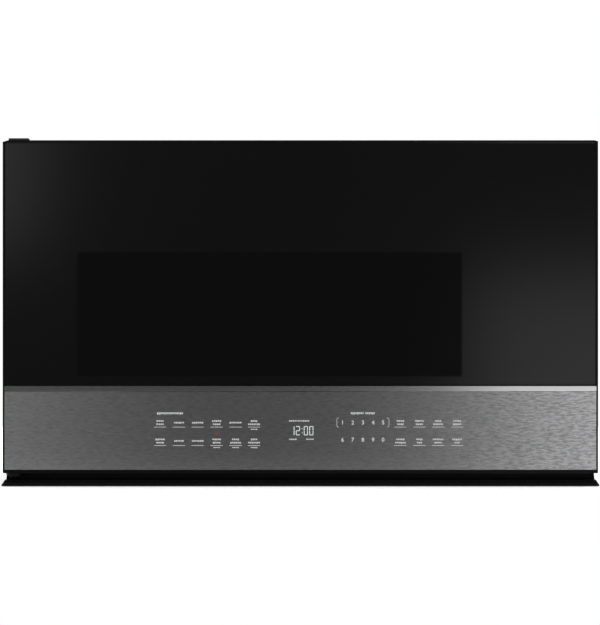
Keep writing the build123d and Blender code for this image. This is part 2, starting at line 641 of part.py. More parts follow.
def waveguide():
    """The sheet channel that carries the microwaves from the magnetron to the cavity's port."""
    y = around(WAVEGUIDE_Y, WAVEGUIDE_LENGTH)
    z = around(WAVEGUIDE_Z, WAVEGUIDE_HEIGHT)
    channel = block(WAVEGUIDE_X, y, z)
    inside = block((WAVEGUIDE_X[0] - PAST, WAVEGUIDE_X[1] - SHEET), grown(y, -SHEET), grown(z, -SHEET))
    hole = rod("x", ANTENNA_HOLE_R, (WAVEGUIDE_X[1] - SHEET - PAST, WAVEGUIDE_X[1] + PAST),
               (WAVEGUIDE_Y, WAVEGUIDE_Z))
    return channel - [inside, hole]


def waveguide_cover():
    """The mica sheet over the port, inside the cavity."""
    y = grown(around(WAVEGUIDE_Y, PORT_LENGTH), MICA_EDGE)
    z = grown(around(WAVEGUIDE_Z, PORT_HEIGHT), MICA_EDGE)
    return block((CAVITY_X[1] - MICA, CAVITY_X[1]), y, z)


def magnetron():
    """Yoke, finned anode with its antenna, and the filter box."""
    at = (WAVEGUIDE_Y, WAVEGUIDE_Z)
    y = around(WAVEGUIDE_Y, MAGNETRON)
    z = around(WAVEGUIDE_Z, MAGNETRON)
    ends = grown(MAGNETRON_X, -YOKE_WALL)
    yoke = block(MAGNETRON_X, y, z) - block(ends, grown(y, PAST), grown(z, -YOKE_WALL))
    yoke -= rod("x", MAGNETRON_CORE_R + RUN, grown(MAGNETRON_X, PAST), at)
    anode = rod("x", MAGNETRON_CORE_R, MAGNETRON_X, at)
    anode += rod("x", ANTENNA_R, (WAVEGUIDE_X[1] - ANTENNA_REACH, MAGNETRON_X[1]), at)
    pitch = (ends[1] - ends[0]) / (MAGNETRON_FINS + 1)
    fins = []
    for i in range(MAGNETRON_FINS):
        x = around(ends[0] + (i + 1) * pitch, MAGNETRON_FIN)
        fin = block(x, grown(y, -YOKE_WALL), grown(z, -YOKE_WALL))
        fins.append(fin - rod("x", MAGNETRON_CORE_R + RUN, grown(x, PAST), at))
    box_x = (MAGNETRON_X[1], MAGNETRON_X[1] + MAGNETRON_BOX)
    filter_box = block(box_x, grown(y, -MAGNETRON_BOX_EDGE), grown(z, -MAGNETRON_BOX_EDGE))
    return [yoke, anode, filter_box] + fins


def transformer():
    """The laminated core on its floor and the winding round its middle leg."""
    width, depth, height = TRANSFORMER
    x = around(centre(BAY_X), width)
    y = around(TRANSFORMER_Y, depth)
    z = (TRAY_Z + SHEET, TRAY_Z + SHEET + height)
    window_z = grown(z, -TRANSFORMER_LEG / 2)
    core = block(x, y, z)
    middle = centre(x)
    for side in (-1, 1):
        near = middle + side * TRANSFORMER_LEG / 2
        far = middle + side * (width / 2 - TRANSFORMER_LEG / 2)
        core -= block(sorted((near, far)), grown(y, PAST), window_z)
    winding = block(grown(x, -TRANSFORMER_LEG / 2), grown(y, WINDING_OUT), window_z)
    return [core, winding - core]


def capacitor():
    """The oval can with its diode lying across two of its terminals."""
    z = TRAY_Z + SHEET + CAPACITOR_R
    x = around(centre(BAY_X) + CAPACITOR_X, CAPACITOR_LENGTH)
    ends = around(CAPACITOR_Y, CAPACITOR_WIDTH - 2 * CAPACITOR_R)
    can = block(x, ends, around(z, 2 * CAPACITOR_R))
    for y in ends:
        can += rod("x", CAPACITOR_R, x, (y, z))
        can += block((x[0] - TERMINAL[0], x[0] + PAST), around(y, TERMINAL[1]), around(z, TERMINAL[2]))
    diode_at = (x[0] - TERMINAL[0] / 2, z + TERMINAL[2] / 2 + DIODE_R)
    return [can, rod("y", DIODE_R, ends, diode_at)]


def wall_board(y, z, parts):
    """A circuit board on standoffs against the case's right side, with its tall components."""
    board_x = (INNER_X[1] - STANDOFF - BOARD, INNER_X[1] - STANDOFF)
    board = block(board_x, y, z)
    for spot_y in grown(y, -2 * STANDOFF_R):
        for spot_z in grown(z, -2 * STANDOFF_R):
            board += rod("x", STANDOFF_R, (board_x[1] - BOARD / 2, INNER_X[1]), (spot_y, spot_z))
    for part_y, part_z, size, height in parts:
        board += block((board_x[0] - height, board_x[0] + BOARD / 2), around(y[0] + part_y, size),
                       around(z[0] + part_z, size))
    return board


def noise_filter_board():
    """The supply filter: a choke, two film capacitors and a fuse holder."""
    top = CASE_TOP - FILTER_BOARD_FROM_TOP
    return wall_board((0, FILTER_BOARD_LENGTH), (top - FILTER_BOARD_HEIGHT, top), FILTER_PARTS)


def power_board():
    """The relay board that switches the oven, fans and lamps."""
    low = TRAY_Z + SHEET + POWER_BOARD_ABOVE_TRAY
    y = (POWER_BOARD_FRONT, POWER_BOARD_FRONT + POWER_BOARD_LENGTH)
    return wall_board(y, (low, low + POWER_BOARD_HEIGHT), POWER_PARTS)


def thermal_cutouts():
    """Button thermostats on the cavity's roof and on the magnetron's yoke."""
    roof = rod("z", CUTOUT_R, (CAVITY_ROOF, CAVITY_ROOF + CUTOUT_HEIGHT), (TURN_X, TURN_Y))
    yoke_top = WAVEGUIDE_Z + MAGNETRON / 2
    yoke = rod("z", CUTOUT_R, (yoke_top, yoke_top + CUTOUT_HEIGHT), (centre(MAGNETRON_X), WAVEGUIDE_Y))
    return [roof, yoke]


def fan_shroud():
    """The square plate with the round hole that the cooling fan blows through."""
    x = around(FAN_X, FAN_SHROUD)
    plate = block(BAY_X, FAN_SHROUD_Y, around(WAVEGUIDE_Z, FAN_SHROUD))
    collar = rod("y", FAN_R + FAN_GAP + SHEET, (FAN_Y, FAN_BLADE_Y[1]), (centre(x), WAVEGUIDE_Z))
    hole = rod("y", FAN_R + FAN_GAP, (FAN_Y - PAST, FAN_BLADE_Y[1] + PAST), (centre(x), WAVEGUIDE_Z))
    return plate + collar - hole


def fan_motor():
    """The square lamination stack, its coil and the two arms that reach back to the shroud."""
    y = FAN_MOTOR_Y
    z = around(WAVEGUIDE_Z, FAN_MOTOR)
    stack = block(around(FAN_X, FAN_MOTOR), y, z)
    arm_x = around(FAN_X, 2 * (FAN_R + FAN_GAP + SHEET))
    for side in (0, 1):
        arm_z = around(WAVEGUIDE_Z, FAN_ARM[1])
        arm = block(around(arm_x[side], FAN_ARM[0]), (FAN_SHROUD_Y[1], y[1]), arm_z)
        bridge = block(sorted((FAN_X, arm_x[side])), (y[1] - FAN_ARM[2], y[1]), arm_z)
        stack += arm + bridge
    stack -= rod("y", FAN_R + FAN_GAP + SHEET + RUN, (FAN_Y, FAN_BLADE_Y[1]), (FAN_X, WAVEGUIDE_Z))
    return stack - rod("y", FAN_SHAFT_R + RUN, (y[0] - PAST, y[1] + PAST), (FAN_X, WAVEGUIDE_Z))


def fan_blade():
    """The five bladed cooling fan on its shaft."""
    at = (FAN_X, WAVEGUIDE_Z)
    fan = rod("y", FAN_HUB_R, FAN_BLADE_Y, at) + rod("y", FAN_SHAFT_R, (FAN_BLADE_Y[0], FAN_MOTOR_Y[1]), at)
    reach = FAN_R - FAN_HUB_R / 2
    blade = Pos(0, 0, FAN_HUB_R / 2 + reach / 2) * Rot(0, 0, FAN_PITCH) * Box(FAN_CHORD, FAN_BLADE, reach)
    for i in range(FAN_BLADES):
        fan += Pos(FAN_X, centre(FAN_BLADE_Y), WAVEGUIDE_Z) * Rot(0, i * 360 / FAN_BLADES, 0) * blade
    return fan & rod("y", FAN_R, (FAN_BLADE_Y[0], FAN_MOTOR_Y[1]), at)


# ---- Hood ----

def grease_filter(side):
    """A framed pack of mesh, resting on the base pan's ledges."""
    x = around(side * FILTER_X, FILTER_WIDTH)
    y = around(FILTER_Y - FILTER_TRAVEL / 2, FILTER_DEPTH)
    z = (SHEET + CLEAR, SHEET + CLEAR + FILTER_THICKNESS)
    frame = block(x, y, z) - block(grown(x, -FILTER_RAIL), grown(y, -FILTER_RAIL), grown(z, PAST))
    mesh = block(grown(x, -FILTER_RAIL), grown(y, -FILTER_RAIL), around(centre(z), FILTER_MESH))
    return [frame, mesh]


def cooktop_lamps():
    """The two lenses set in the base pan."""
    lamps = []
    for side in (-1, 1):
        x = around(side * FILTER_X, LAMP_WIDTH)
        y = around(LAMP_Y, LAMP_DEPTH)
        lens = block(grown(x, -CLEAR), grown(y, -CLEAR), (SHEET / 2, SHEET + LAMP_LENS))
        lens += block(grown(x, LAMP_EDGE), grown(y, LAMP_EDGE), (SHEET, SHEET + LAMP_LENS))
        lamps.append(lens)
    return lamps


def cooktop_lamp_boards():
    """The lamp boards that lie on the lenses' backs."""
    boards = []
    for side in (-1, 1):
        z = SHEET + LAMP_LENS
        boards.append(block(around(side * FILTER_X, LAMP_WIDTH), around(LAMP_Y, LAMP_DEPTH), (z, z + LAMP_BOARD)))
    return boards


def scroll(x):
    """One blower housing: a drum with a straight mouth to the front and an intake each side."""
    at = (BLOWER_Y, BLOWER_Z)
    outer_r = BLOWER_R + BLOWER_WALL
    inner_x = grown(x, -BLOWER_WALL)
    outer = rod("x", outer_r, x, at) + block(x, (MOUTH_Y, BLOWER_Y), DUCT_Z)
    outer += block(x, around(BLOWER_Y, outer_r), (CAVITY_ROOF, BLOWER_Z))
    hollow = rod("x", BLOWER_R, inner_x, at)
    hollow += block(inner_x, (MOUTH_Y - PAST, BLOWER_Y), (DUCT_Z[0] + BLOWER_WALL, DUCT_Z[1] - BLOWER_WALL))
    return outer - hollow - rod("x", BLOWER_INTAKE_R, grown(x, PAST), at)


def wheel_span(side):
    """The X span of one blower wheel."""
    return around(side * BLOWER_SPACING, WHEEL_WIDTH)


def blower_housing():
    """The two housings, one each side of the motor."""
    return [scroll(grown(wheel_span(side), FAN_GAP + BLOWER_WALL)) for side in (-1, 1)]


def blower_motor():
    """The round motor on its saddle."""
    at = (BLOWER_Y, BLOWER_Z)
    x = around(0, BLOWER_MOTOR_LENGTH)
    motor = rod("x", BLOWER_MOTOR_R, x, at)
    motor += block(around(0, BLOWER_SADDLE), around(BLOWER_Y, BLOWER_MOTOR_R), (CAVITY_ROOF, BLOWER_Z))
    return motor - rod("x", BLOWER_SHAFT_R + RUN, grown(x, PAST), at)


def blower_wheel(side):
    """A drum wheel: a disc at its motor side, a ring at the other and blades between."""
    at = (BLOWER_Y, BLOWER_Z)
    x = wheel_span(side)
    near, far = (x[0], x[1]) if side > 0 else (x[1], x[0])
    disc = rod("x", WHEEL_R, sorted((near, near + side * WHEEL_RING)), at)
    ring_x = sorted((far, far - side * WHEEL_RING))
    ring = rod("x", WHEEL_R, ring_x, at) - rod("x", WHEEL_R - WHEEL_BLADE_DEPTH, grown(ring_x, PAST), at)
    hub = rod("x", WHEEL_HUB_R, sorted((near, near + side * WHEEL_HUB)), at)
    wheel = disc + ring + hub
    blade = Rot(WHEEL_BLADE_TURN, 0, 0) * Box(WHEEL_WIDTH, WHEEL_BLADE, WHEEL_BLADE_DEPTH)
    blade = Pos(0, 0, WHEEL_R - WHEEL_BLADE_DEPTH / 2) * blade
    for i in range(WHEEL_BLADES):
        wheel += Pos(centre(x), BLOWER_Y, BLOWER_Z) * Rot(i * 360 / WHEEL_BLADES, 0, 0) * blade
    return wheel


def blower_rotor():
    """The motor's shaft with a wheel on each end."""
    ends = (wheel_span(-1)[0], wheel_span(1)[1])
    return rod("x", BLOWER_SHAFT_R, ends, (BLOWER_Y, BLOWER_Z)) + blower_wheel(-1) + blower_wheel(1)


def exhaust_duct():
    """The duct that widens from the blower's mouths to the open box under the vent grille."""
    narrow = wheel_span(1)[1] + FAN_GAP + BLOWER_WALL
    wide = GRILLE_WIDTH / 2 + GRILLE_RIM
    height = DUCT_Z[1] - DUCT_Z[0]
    walls = []
    for thickness in (0, SHEET):
        back = Plane.XZ.offset(-MOUTH_Y) * Rectangle(2 * (narrow - thickness), height - 2 * thickness)
        front = Plane.XZ.offset(-PLENUM_Y[1]) * Rectangle(2 * (wide - thickness), height - 2 * thickness)
        walls.append(Pos(0, 0, centre(DUCT_Z)) * loft([back.face(), front.face()], ruled=True))
    plenum_z = (DUCT_Z[0], ROOF_Z - SHEET)
    plenum = block(around(0, 2 * wide), PLENUM_Y, plenum_z)
    inside = block(around(0, 2 * (wide - SHEET)), (PLENUM_Y[0] + SHEET, PLENUM_Y[1] - SHEET),
                   (DUCT_Z[0] + SHEET, plenum_z[1] + PAST))
    mouth = block(around(0, 2 * (wide - SHEET)), around(PLENUM_Y[1], 2 * SHEET + PAST), grown(DUCT_Z, -SHEET))
    return plenum + walls[0] - walls[1] - inside - mouth


def charcoal_filter():
    """The slab of charcoal in its frame, on the floor of the duct's front box."""
    x = grown(around(0, GRILLE_WIDTH), -FILTER_RAIL)
    y = grown(PLENUM_Y, -SHEET - CLEAR)
    z = (ROOF_Z - SHEET - CHARCOAL_HEIGHT, ROOF_Z - SHEET)
    frame = block(x, y, z) - block(grown(x, -FILTER_RAIL), grown(y, -FILTER_RAIL), grown(z, PAST))
    core = block(grown(x, -FILTER_RAIL), grown(y, -FILTER_RAIL), grown(z, -SHEET))
    return [frame, core]


# ---- Turntable ----

def turntable_tray():
    """The glass plate with its raised rim."""
    at = (TURN_X, TURN_Y)
    plate = rod("z", TRAY_R, (TRAY_BOTTOM, TRAY_BOTTOM + TRAY_PLATE + TRAY_RIM), at)
    rim_middle = Pos(TURN_X, TURN_Y, TRAY_BOTTOM + TRAY_PLATE + TRAY_RIM / 2)
    hollow = rim_middle * Cone(TRAY_R - 2 * TRAY_PLATE, TRAY_R - TRAY_PLATE, TRAY_RIM)
    lower_edge = plate.edges().group_by(Axis.Z)[0]
    return chamfer(lower_edge, TRAY_PLATE) - hollow


def turntable_coupler():
    """The three-lobed hub under the tray, with the shaft that the motor turns."""
    at = (TURN_X, TURN_Y)
    hub = rod("z", COUPLER_HUB_R, COUPLER_Z, at)
    lobe = Pos(COUPLER_R / 2, 0, 0) * Box(COUPLER_R, COUPLER_HUB_R, COUPLER_HEIGHT)
    for i in range(COUPLER_LOBES):
        hub += Pos(TURN_X, TURN_Y, centre(COUPLER_Z)) * Rot(0, 0, i * 360 / COUPLER_LOBES) * lobe
    return hub + rod("z", SHAFT_R, (LINER_BOTTOM - SHAFT_DROP, COUPLER_Z[1]), at)


def turntable_motor():
    """The flat synchronous motor under the cavity's floor."""
    at = (TURN_X, TURN_Y)
    body = rod("z", TURN_MOTOR_R, (LINER_BOTTOM - TURN_MOTOR_HEIGHT, LINER_BOTTOM), at)
    return body - rod("z", SHAFT_R + RUN, (LINER_BOTTOM - SHAFT_DROP - CLEAR, LINER_BOTTOM + PAST), at)


def roller_ring():
    """The loop under the tray, with a stub axle for each roller."""
    at = (TURN_X, TURN_Y)
    outer = ROLLER_TRACK - ROLLER_WIDTH / 2 - CLEAR
    z = around(ROLLER_Z, RING_HEIGHT)
    ring = rod("z", outer, z, at) - rod("z", outer - RING_WIDTH, grown(z, PAST), at)
    tip = ROLLER_TRACK + ROLLER_WIDTH / 2 + CLEAR
    for i in range(ROLLER_COUNT):
        turn = Pos(TURN_X, TURN_Y, 0) * Rot(0, 0, i * 360 / ROLLER_COUNT)
        ring += turn * rod("x", AXLE_R, (outer - RING_WIDTH / 2, tip), (0, ROLLER_Z))
        ring += turn * rod("x", 2 * AXLE_R, (tip, tip + AXLE_R), (0, ROLLER_Z))
    return ring


def roller(i):
    """A small wheel on its stub axle."""
    x = around(ROLLER_TRACK, ROLLER_WIDTH)
    wheel = rod("x", ROLLER_R, x, (0, ROLLER_Z)) - rod("x", AXLE_R + RUN, grown(x, PAST), (0, ROLLER_Z))
    return Pos(TURN_X, TURN_Y, 0) * Rot(0, 0, i * 360 / ROLLER_COUNT) * wheel


# ---- Hinges ----

def upper_hinge_bracket():
    """The flat arm screwed to the roof that reaches over the door."""
    x = around(HINGE_X, HINGE_ARM_WIDTH)
    arm = block(x, (HINGE_Y, CASE_Y + UPPER_ARM_BACK), UPPER_ARM_Z)
    arm += rod("z", HINGE_ARM_WIDTH / 2, UPPER_ARM_Z, (HINGE_X, HINGE_Y))
    hole = rod("z", PIN_R + RUN, grown(UPPER_ARM_Z, PAST), (HINGE_X, HINGE_Y))
    front = block(grown(x, PAST), (FACE_Y - HINGE_ARM_WIDTH, FACE_Y + CLEAR), grown(UPPER_ARM_Z, PAST))
    return arm - [hole, front] - screw_holes()


def lower_hinge_bracket():
    """The arm under the door, with a leg up the back of the front plate."""
    x = around(HINGE_X, HINGE_ARM_WIDTH)
    arm = block(x, (HINGE_Y, PLATE_BACK_Y + LOWER_ARM), LOWER_ARM_Z)
    arm += rod("z", HINGE_ARM_WIDTH / 2, LOWER_ARM_Z, (HINGE_X, HINGE_Y))
    leg = block(x, (PLATE_BACK_Y, PLATE_BACK_Y + LOWER_ARM), (LOWER_ARM_Z[0], LOWER_ARM_Z[0] + HINGE_LEG))
    return arm + leg - rod("z", PIN_R + RUN, grown(LOWER_ARM_Z, PAST), (HINGE_X, HINGE_Y))


def hinge_pins():
    """The two headed pins that the door turns on."""
    at = (HINGE_X, HINGE_Y)
    upper = rod("z", PIN_R, (DOOR_TOP - PIN_DEPTH, UPPER_ARM_Z[1]), at)
    lower = rod("z", PIN_R, (LOWER_ARM_Z[0], DOOR_BOTTOM + PIN_DEPTH), at)
    lower += rod("z", PIN_HEAD_R, (LOWER_ARM_Z[0] - LOWER_ARM / 2, LOWER_ARM_Z[0]), at)
    return [upper, lower]


def hinge_cover():
    """The thin black cap over the upper arm, sloped at its right end."""
    x = around(HINGE_X, HINGE_COVER_WIDTH)
    y = (FACE_Y, FACE_Y + HINGE_COVER_DEPTH - CLEAR)
    room = block(grown(around(HINGE_X, HINGE_ARM_WIDTH), CLEAR), (FACE_Y + CLEAR, y[1] + PAST),
                 (UPPER_ARM_Z[0] - PAST, UPPER_ARM_Z[1]))
    cap = block(x, y, (UPPER_ARM_Z[0], UPPER_ARM_Z[1] + HINGE_COVER))
    edge = cap.edges().filter_by(Axis.Y).sort_by(Axis.X)[-2:].sort_by(Axis.Z)[-1]
    return chamfer(edge, HINGE_COVER + UPPER_ARM / 2) - room


# ---- Door ----

def door_frame():
    """The moulded frame: rim, web behind the glass, window opening and hinge blocks."""
    y = (FACE_Y, DOOR_BACK_Y)
    shell = rounded(block(DOOR_X, y, DOOR_Z), Axis.Y, DOOR_CORNER)
    left_back = shell.edges().filter_by(Axis.Z).sort_by(Axis.X)[:2].sort_by(Axis.Y)[-1]
    shell = fillet(left_back, BACK_CORNER)
    front_z = (FASCIA_Z[0], GLASS_Z[1])
    seat = block(GLASS_X, (FACE_Y - PAST, WEB_Y), front_z)
    inside_x = grown(DOOR_X, -FRAME_WALL)
    inside_z = grown(DOOR_Z, -FRAME_WALL)
    hollow = block(inside_x, (WEB_Y + FRAME_WEB, DOOR_BACK_Y - BACK_CORNER), inside_z)
    back_x = (DOOR_X[0] + BACK_CORNER, inside_x[1])
    hollow += block(back_x, (WEB_Y + FRAME_WEB, DOOR_BACK_Y + PAST), inside_z)
    window = block(grown(WINDOW_X, WINDOW_MARGIN), (FACE_Y, DOOR_BACK_Y), grown(WINDOW_Z, WINDOW_MARGIN))
    ports = block(grown(around(DISPLAY_X, DISPLAY[0]), CLEAR), (WEB_Y - PAST, WEB_Y + FRAME_WEB + PAST),
                  grown(around(centre(FASCIA_Z), DISPLAY[1]), CLEAR))
    frame = shell - [seat, hollow, window, ports]
    for z in (inside_z[0], inside_z[1] - HINGE_BLOCK):
        corner = (inside_x[0] - PAST, inside_x[0] + HINGE_BLOCK)
        frame += block(corner, (WEB_Y + FRAME_WEB / 2, HINGE_Y + BUSH_R + FRAME_WALL), (z, z + HINGE_BLOCK))
    frame += board_standoffs()
    bush = [rod("z", BUSH_R + RUN, span, (HINGE_X, HINGE_Y)) for span in bush_spans()]
    return frame - bush


def bush_spans():
    """The Z spans of the lower and the upper bush."""
    return [(DOOR_BOTTOM, DOOR_BOTTOM + BUSH_LENGTH), (DOOR_TOP - BUSH_LENGTH, DOOR_TOP)]


def door_bushes():
    """The two plain bushes that turn on the hinge pins."""
    at = (HINGE_X, HINGE_Y)
    return [rod("z", BUSH_R, span, at) - rod("z", BUSH_HOLE_R, grown(span, PAST), at) for span in bush_spans()]


def door_glass():
    """The black glass, from the strip to the top rim."""
    return block(GLASS_X, (FACE_Y, WEB_Y), GLASS_Z)


def trim_strip():
    """The bright metal strip, a little proud, with bevelled edges."""
    strip = block(GLASS_X, (FRONT_Y, WEB_Y), STRIP_Z)
    front_edges = strip.edges().filter_by(Axis.X).sort_by(Axis.Y)[:2]
    return chamfer(front_edges, STRIP_PROUD)


def control_fascia():
    """The brushed metal panel that carries the controls."""
    return block(GLASS_X, (FACE_Y, FACE_Y + FASCIA), FASCIA_Z)


def touch_sensor():
    """The sensor sheet bonded to the fascia's back."""
    return block(GLASS_X, (FACE_Y + FASCIA, WEB_Y), FASCIA_Z)


def board_standoffs():
    """The four pillars of the frame that carry the control board."""
    spots = [(x, z) for x in grown(BOARD_SPAN, -BOARD_EDGE) for z in grown(BOARD_Z, -STANDOFF_R)]
    return [rod("y", STANDOFF_R, (WEB_Y + FRAME_WEB / 2, BOARD_Y), spot) for spot in spots]


def control_board():
    """The board with its chips behind, and the clock display that looks through the web."""
    board = block(BOARD_SPAN, (BOARD_Y, BOARD_Y + BOARD), BOARD_Z)
    for x in CHIP_X:
        chip_y = (BOARD_Y + BOARD / 2, BOARD_Y + BOARD + CHIP[2])
        board += block(around(x, CHIP[0]), chip_y, around(centre(BOARD_Z), CHIP[1]))
    display = block(around(DISPLAY_X, DISPLAY[0]), (WEB_Y, BOARD_Y), around(centre(FASCIA_Z), DISPLAY[1]))
    return [board, display]


def rear_cover():
    """The moulded cover over the door's back, round the choke, with the latch's guides."""
    x = (DOOR_X[0] + BACK_CORNER + CLEAR, DOOR_X[1] - FRAME_WALL - CLEAR)
    z = grown(DOOR_Z, -FRAME_WALL - CLEAR)
    y = (COVER_FRONT_Y, DOOR_BACK_Y)
    cover = block(x, y, z)
    mouth = block(CHOKE_X, grown(y, PAST), CHOKE_Z)
    cover = cover - [mouth] - latch_slots(grown(y, PAST))
    for z_low in (LATCH_BAR_Z[0] + CLEAR, LATCH_BAR_Z[1] - GUIDE_HEIGHT):
        guide_z = (z_low, z_low + GUIDE_HEIGHT)
        guide_y = (LATCH_BAR_Y[0] - CLEAR - GUIDE_WALL, COVER_FRONT_Y + REAR_COVER / 2)
        guide = block(around(LATCH_X, LATCH_WIDTH + 2 * (CLEAR + GUIDE_WALL)), guide_y, guide_z)
        guide -= block(around(LATCH_X, LATCH_WIDTH + 2 * CLEAR), grown(LATCH_BAR_Y, CLEAR), grown(guide_z, PAST))
        cover += guide
    spring_seat = LATCH_BAR_Z[1] + SPRING_LENGTH
    cover += block(around(LATCH_X, SPRING_SEAT), (LATCH_BAR_Y[0], COVER_FRONT_Y + REAR_COVER / 2),
                   (spring_seat, spring_seat + GUIDE_WALL))
    return cover


def inner_panel():
    """The steel panel: punched screen in the middle and the choke's channel round it."""
    tray = block(CHOKE_X, (PANEL_FRONT_Y, PANEL_BACK_Y), CHOKE_Z)
    channel = block(grown(CHOKE_X, -PANEL_SHEET), (PANEL_FRONT_Y + PANEL_SHEET, PANEL_BACK_Y + PAST),
                    grown(CHOKE_Z, -PANEL_SHEET))
    channel -= block(grown(LAND_X, PANEL_SHEET), (FRONT_Y, BACK_Y), grown(LAND_Z, PANEL_SHEET))
    front_room = block(LAND_X, (PANEL_FRONT_Y - PAST, PANEL_BACK_Y - PANEL_SHEET), LAND_Z)
    columns = int(WINDOW_WIDTH // SCREEN_PITCH)
    rows = int(WINDOW_HEIGHT // SCREEN_PITCH)
    holes = []
    for i in range(columns):
        for j in range(rows):
            x = centre(WINDOW_X) + (i - (columns - 1) / 2) * SCREEN_PITCH
            z = centre(WINDOW_Z) + (j - (rows - 1) / 2) * SCREEN_PITCH
            holes.append(rod("y", SCREEN_HOLE_R, (PANEL_BACK_Y - PANEL_SHEET - PAST, PANEL_BACK_Y + PAST), (x, z)))
    return tray - [channel, front_room] - holes


def inner_window():
    """The clear sheet over the punched screen, on the oven's side."""
    x = grown(WINDOW_X, INNER_WINDOW_MARGIN)
    return block(x, (PANEL_BACK_Y, DOOR_BACK_Y), grown(WINDOW_Z, INNER_WINDOW_MARGIN))


def choke_cover():
    """The flat plastic ring that closes the choke's channel."""
    ring = block(grown(CHOKE_X, -CLEAR), (PANEL_BACK_Y, DOOR_BACK_Y), grown(CHOKE_Z, -CLEAR))
    hole = block(grown(WINDOW_X, INNER_WINDOW_MARGIN + CLEAR), grown((PANEL_BACK_Y, DOOR_BACK_Y), PAST),
                 grown(WINDOW_Z, INNER_WINDOW_MARGIN + CLEAR))
    return ring - hole


# ---- Latch and switches ----

def door_latch():
    """The sprung bar in the door with three fingers; the outer two have barbs."""
    latch = block(around(LATCH_X, LATCH_WIDTH), LATCH_BAR_Y, LATCH_BAR_Z)
    for z in LATCH_HEIGHTS:
        finger_z = around(z, LATCH_FINGER_HEIGHT)
        latch += block(around(LATCH_X, LATCH_FINGER), (LATCH_BAR_Y[0], LATCH_TIP_Y), finger_z)
        if z != LATCH_MIDDLE:
            barb_y = (LATCH_TIP_Y - 2 * LATCH_BARB, LATCH_TIP_Y)
            latch += block(around(LATCH_X, LATCH_FINGER), barb_y, (finger_z[0] - LATCH_BARB, finger_z[1]))
    return latch


def latch_spring():
    """The coil spring that presses the latch down."""
    low = LATCH_BAR_Z[1] + SPRING_WIRE_R
    height = SPRING_LENGTH - 2 * SPRING_WIRE_R
    path = Helix(height / SPRING_TURNS, height, SPRING_R - SPRING_WIRE_R)
    start = Plane(origin=path @ 0, z_dir=path % 0)
    wire = sweep(start * Circle(SPRING_WIRE_R), path=path, is_frenet=True)
    return Pos(LATCH_X, centre(LATCH_BAR_Y), low) * wire


def latch_board():
    """The moulding behind the front plate: finger slots, a sill under each barb, switch seats."""
    board = block(LATCH_BOARD_X, LATCH_BOARD_Y, LATCH_BOARD_Z)
    board = board - latch_slots(grown(LATCH_BOARD_Y, PAST))
    seat_x = around(LATCH_X, SWITCH[0] + 2 * GUIDE_WALL)
    sill_y = (LATCH_BOARD_Y[0], LATCH_TIP_Y - 2 * LATCH_BARB - CLEAR)
    for z in LATCH_HEIGHTS:
        shelf_top = z - SWITCH[2] / 2
        sill_top = z - LATCH_FINGER_HEIGHT / 2 - LATCH_BARB - CLEAR
        board += block(seat_x, (LATCH_BOARD_Y[0], SWITCH_Y[1]), (shelf_top - GUIDE_WALL, shelf_top))
        board += block(seat_x, sill_y, (shelf_top, sill_top))
    return board


def switch_body(z):
    """One snap switch with the hole that its button slides in."""
    body = block(around(LATCH_X, SWITCH[0]), SWITCH_Y, around(z, SWITCH[2]))
    room = grown(around(0, BUTTON_WIDTH), CLEAR)
    hole_x = (LATCH_X + room[0], LATCH_X + room[1])
    depth = BUTTON_IN + BUTTON_TRAVEL + CLEAR
    return body - block(hole_x, (SWITCH_Y[0] - PAST, SWITCH_Y[0] + depth), (z + room[0], z + room[1]))


def switch_button(z):
    """The square button that a latch finger presses."""
    side = around(LATCH_X, BUTTON_WIDTH)
    return block(side, (SWITCH_Y[0] - BUTTON_OUT, SWITCH_Y[0] + BUTTON_IN), around(z, BUTTON_WIDTH))


# ---- Write every sub-part ----

os.makedirs("parts", exist_ok=True)
write("outer_case", outer_case())
write("rear_panel", rear_panel())
write("front_plate", front_plate())
write("base_pan", base_pan())
write("base_lip", base_lip())
write("component_tray", component_tray())
write("top_vent_grille", top_vent_grille())
write("outlet_covers", *outlet_covers())
write("mount_brackets", *mount_brackets())
write("cord_gland", cord_gland())
write("case_screws", *case_screws())
write("cavity_liner", *cavity_liner())
write("cavity_lamp", *cavity_lamp())
write("waveguide", waveguide())
write("waveguide_cover", waveguide_cover())
write("magnetron", *magnetron())
write("transformer", *transformer())
write("capacitor", *capacitor())
write("circuit_boards", noise_filter_board(), power_board())
write("thermal_cutouts", *thermal_cutouts())
write("fan_shroud", fan_shroud())
write("fan_motor", fan_motor())
write("fan_blade", fan_blade())
write("grease_filter_left", *grease_filter(-1))
write("grease_filter_right", *grease_filter(1))
write("cooktop_lamps", *cooktop_lamps(), *cooktop_lamp_boards())
write("blower_housing", *blower_housing())
write("blower_motor", blower_motor())
write("blower_rotor", blower_rotor())
write("exhaust_duct", exhaust_duct())
write("charcoal_filter", *charcoal_filter())
write("turntable_tray", turntable_tray())
write("turntable_coupler", turntable_coupler())
write("turntable_motor", turntable_motor())
write("roller_ring", roller_ring())
for number in range(ROLLER_COUNT):
    write(f"roller_{number + 1}", roller(number))
write("upper_hinge_bracket", upper_hinge_bracket())
write("lower_hinge_bracket", lower_hinge_bracket())
write("hinge_pins", *hinge_pins())
write("hinge_cover", hinge_cover())
write("door_frame", door_frame())
write("door_bushes", *door_bushes())
write("door_glass", door_glass())
write("trim_strip", trim_strip())
write("control_fascia", control_fascia())
write("touch_sensor", touch_sensor())
write("control_board", *control_board())
write("rear_cover", rear_cover())
write("inner_panel", inner_panel())
write("inner_window", inner_window())
write("choke_cover", choke_cover())
write("door_latch", door_latch())
write("latch_spring", latch_spring())
write("latch_board", latch_board())
write("interlock_switches", *[switch_body(z) for z in LATCH_HEIGHTS])
for label, z in zip(("lower", "middle", "upper"), LATCH_HEIGHTS):
    write(f"switch_button_{label}", switch_button(z))
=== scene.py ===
import math

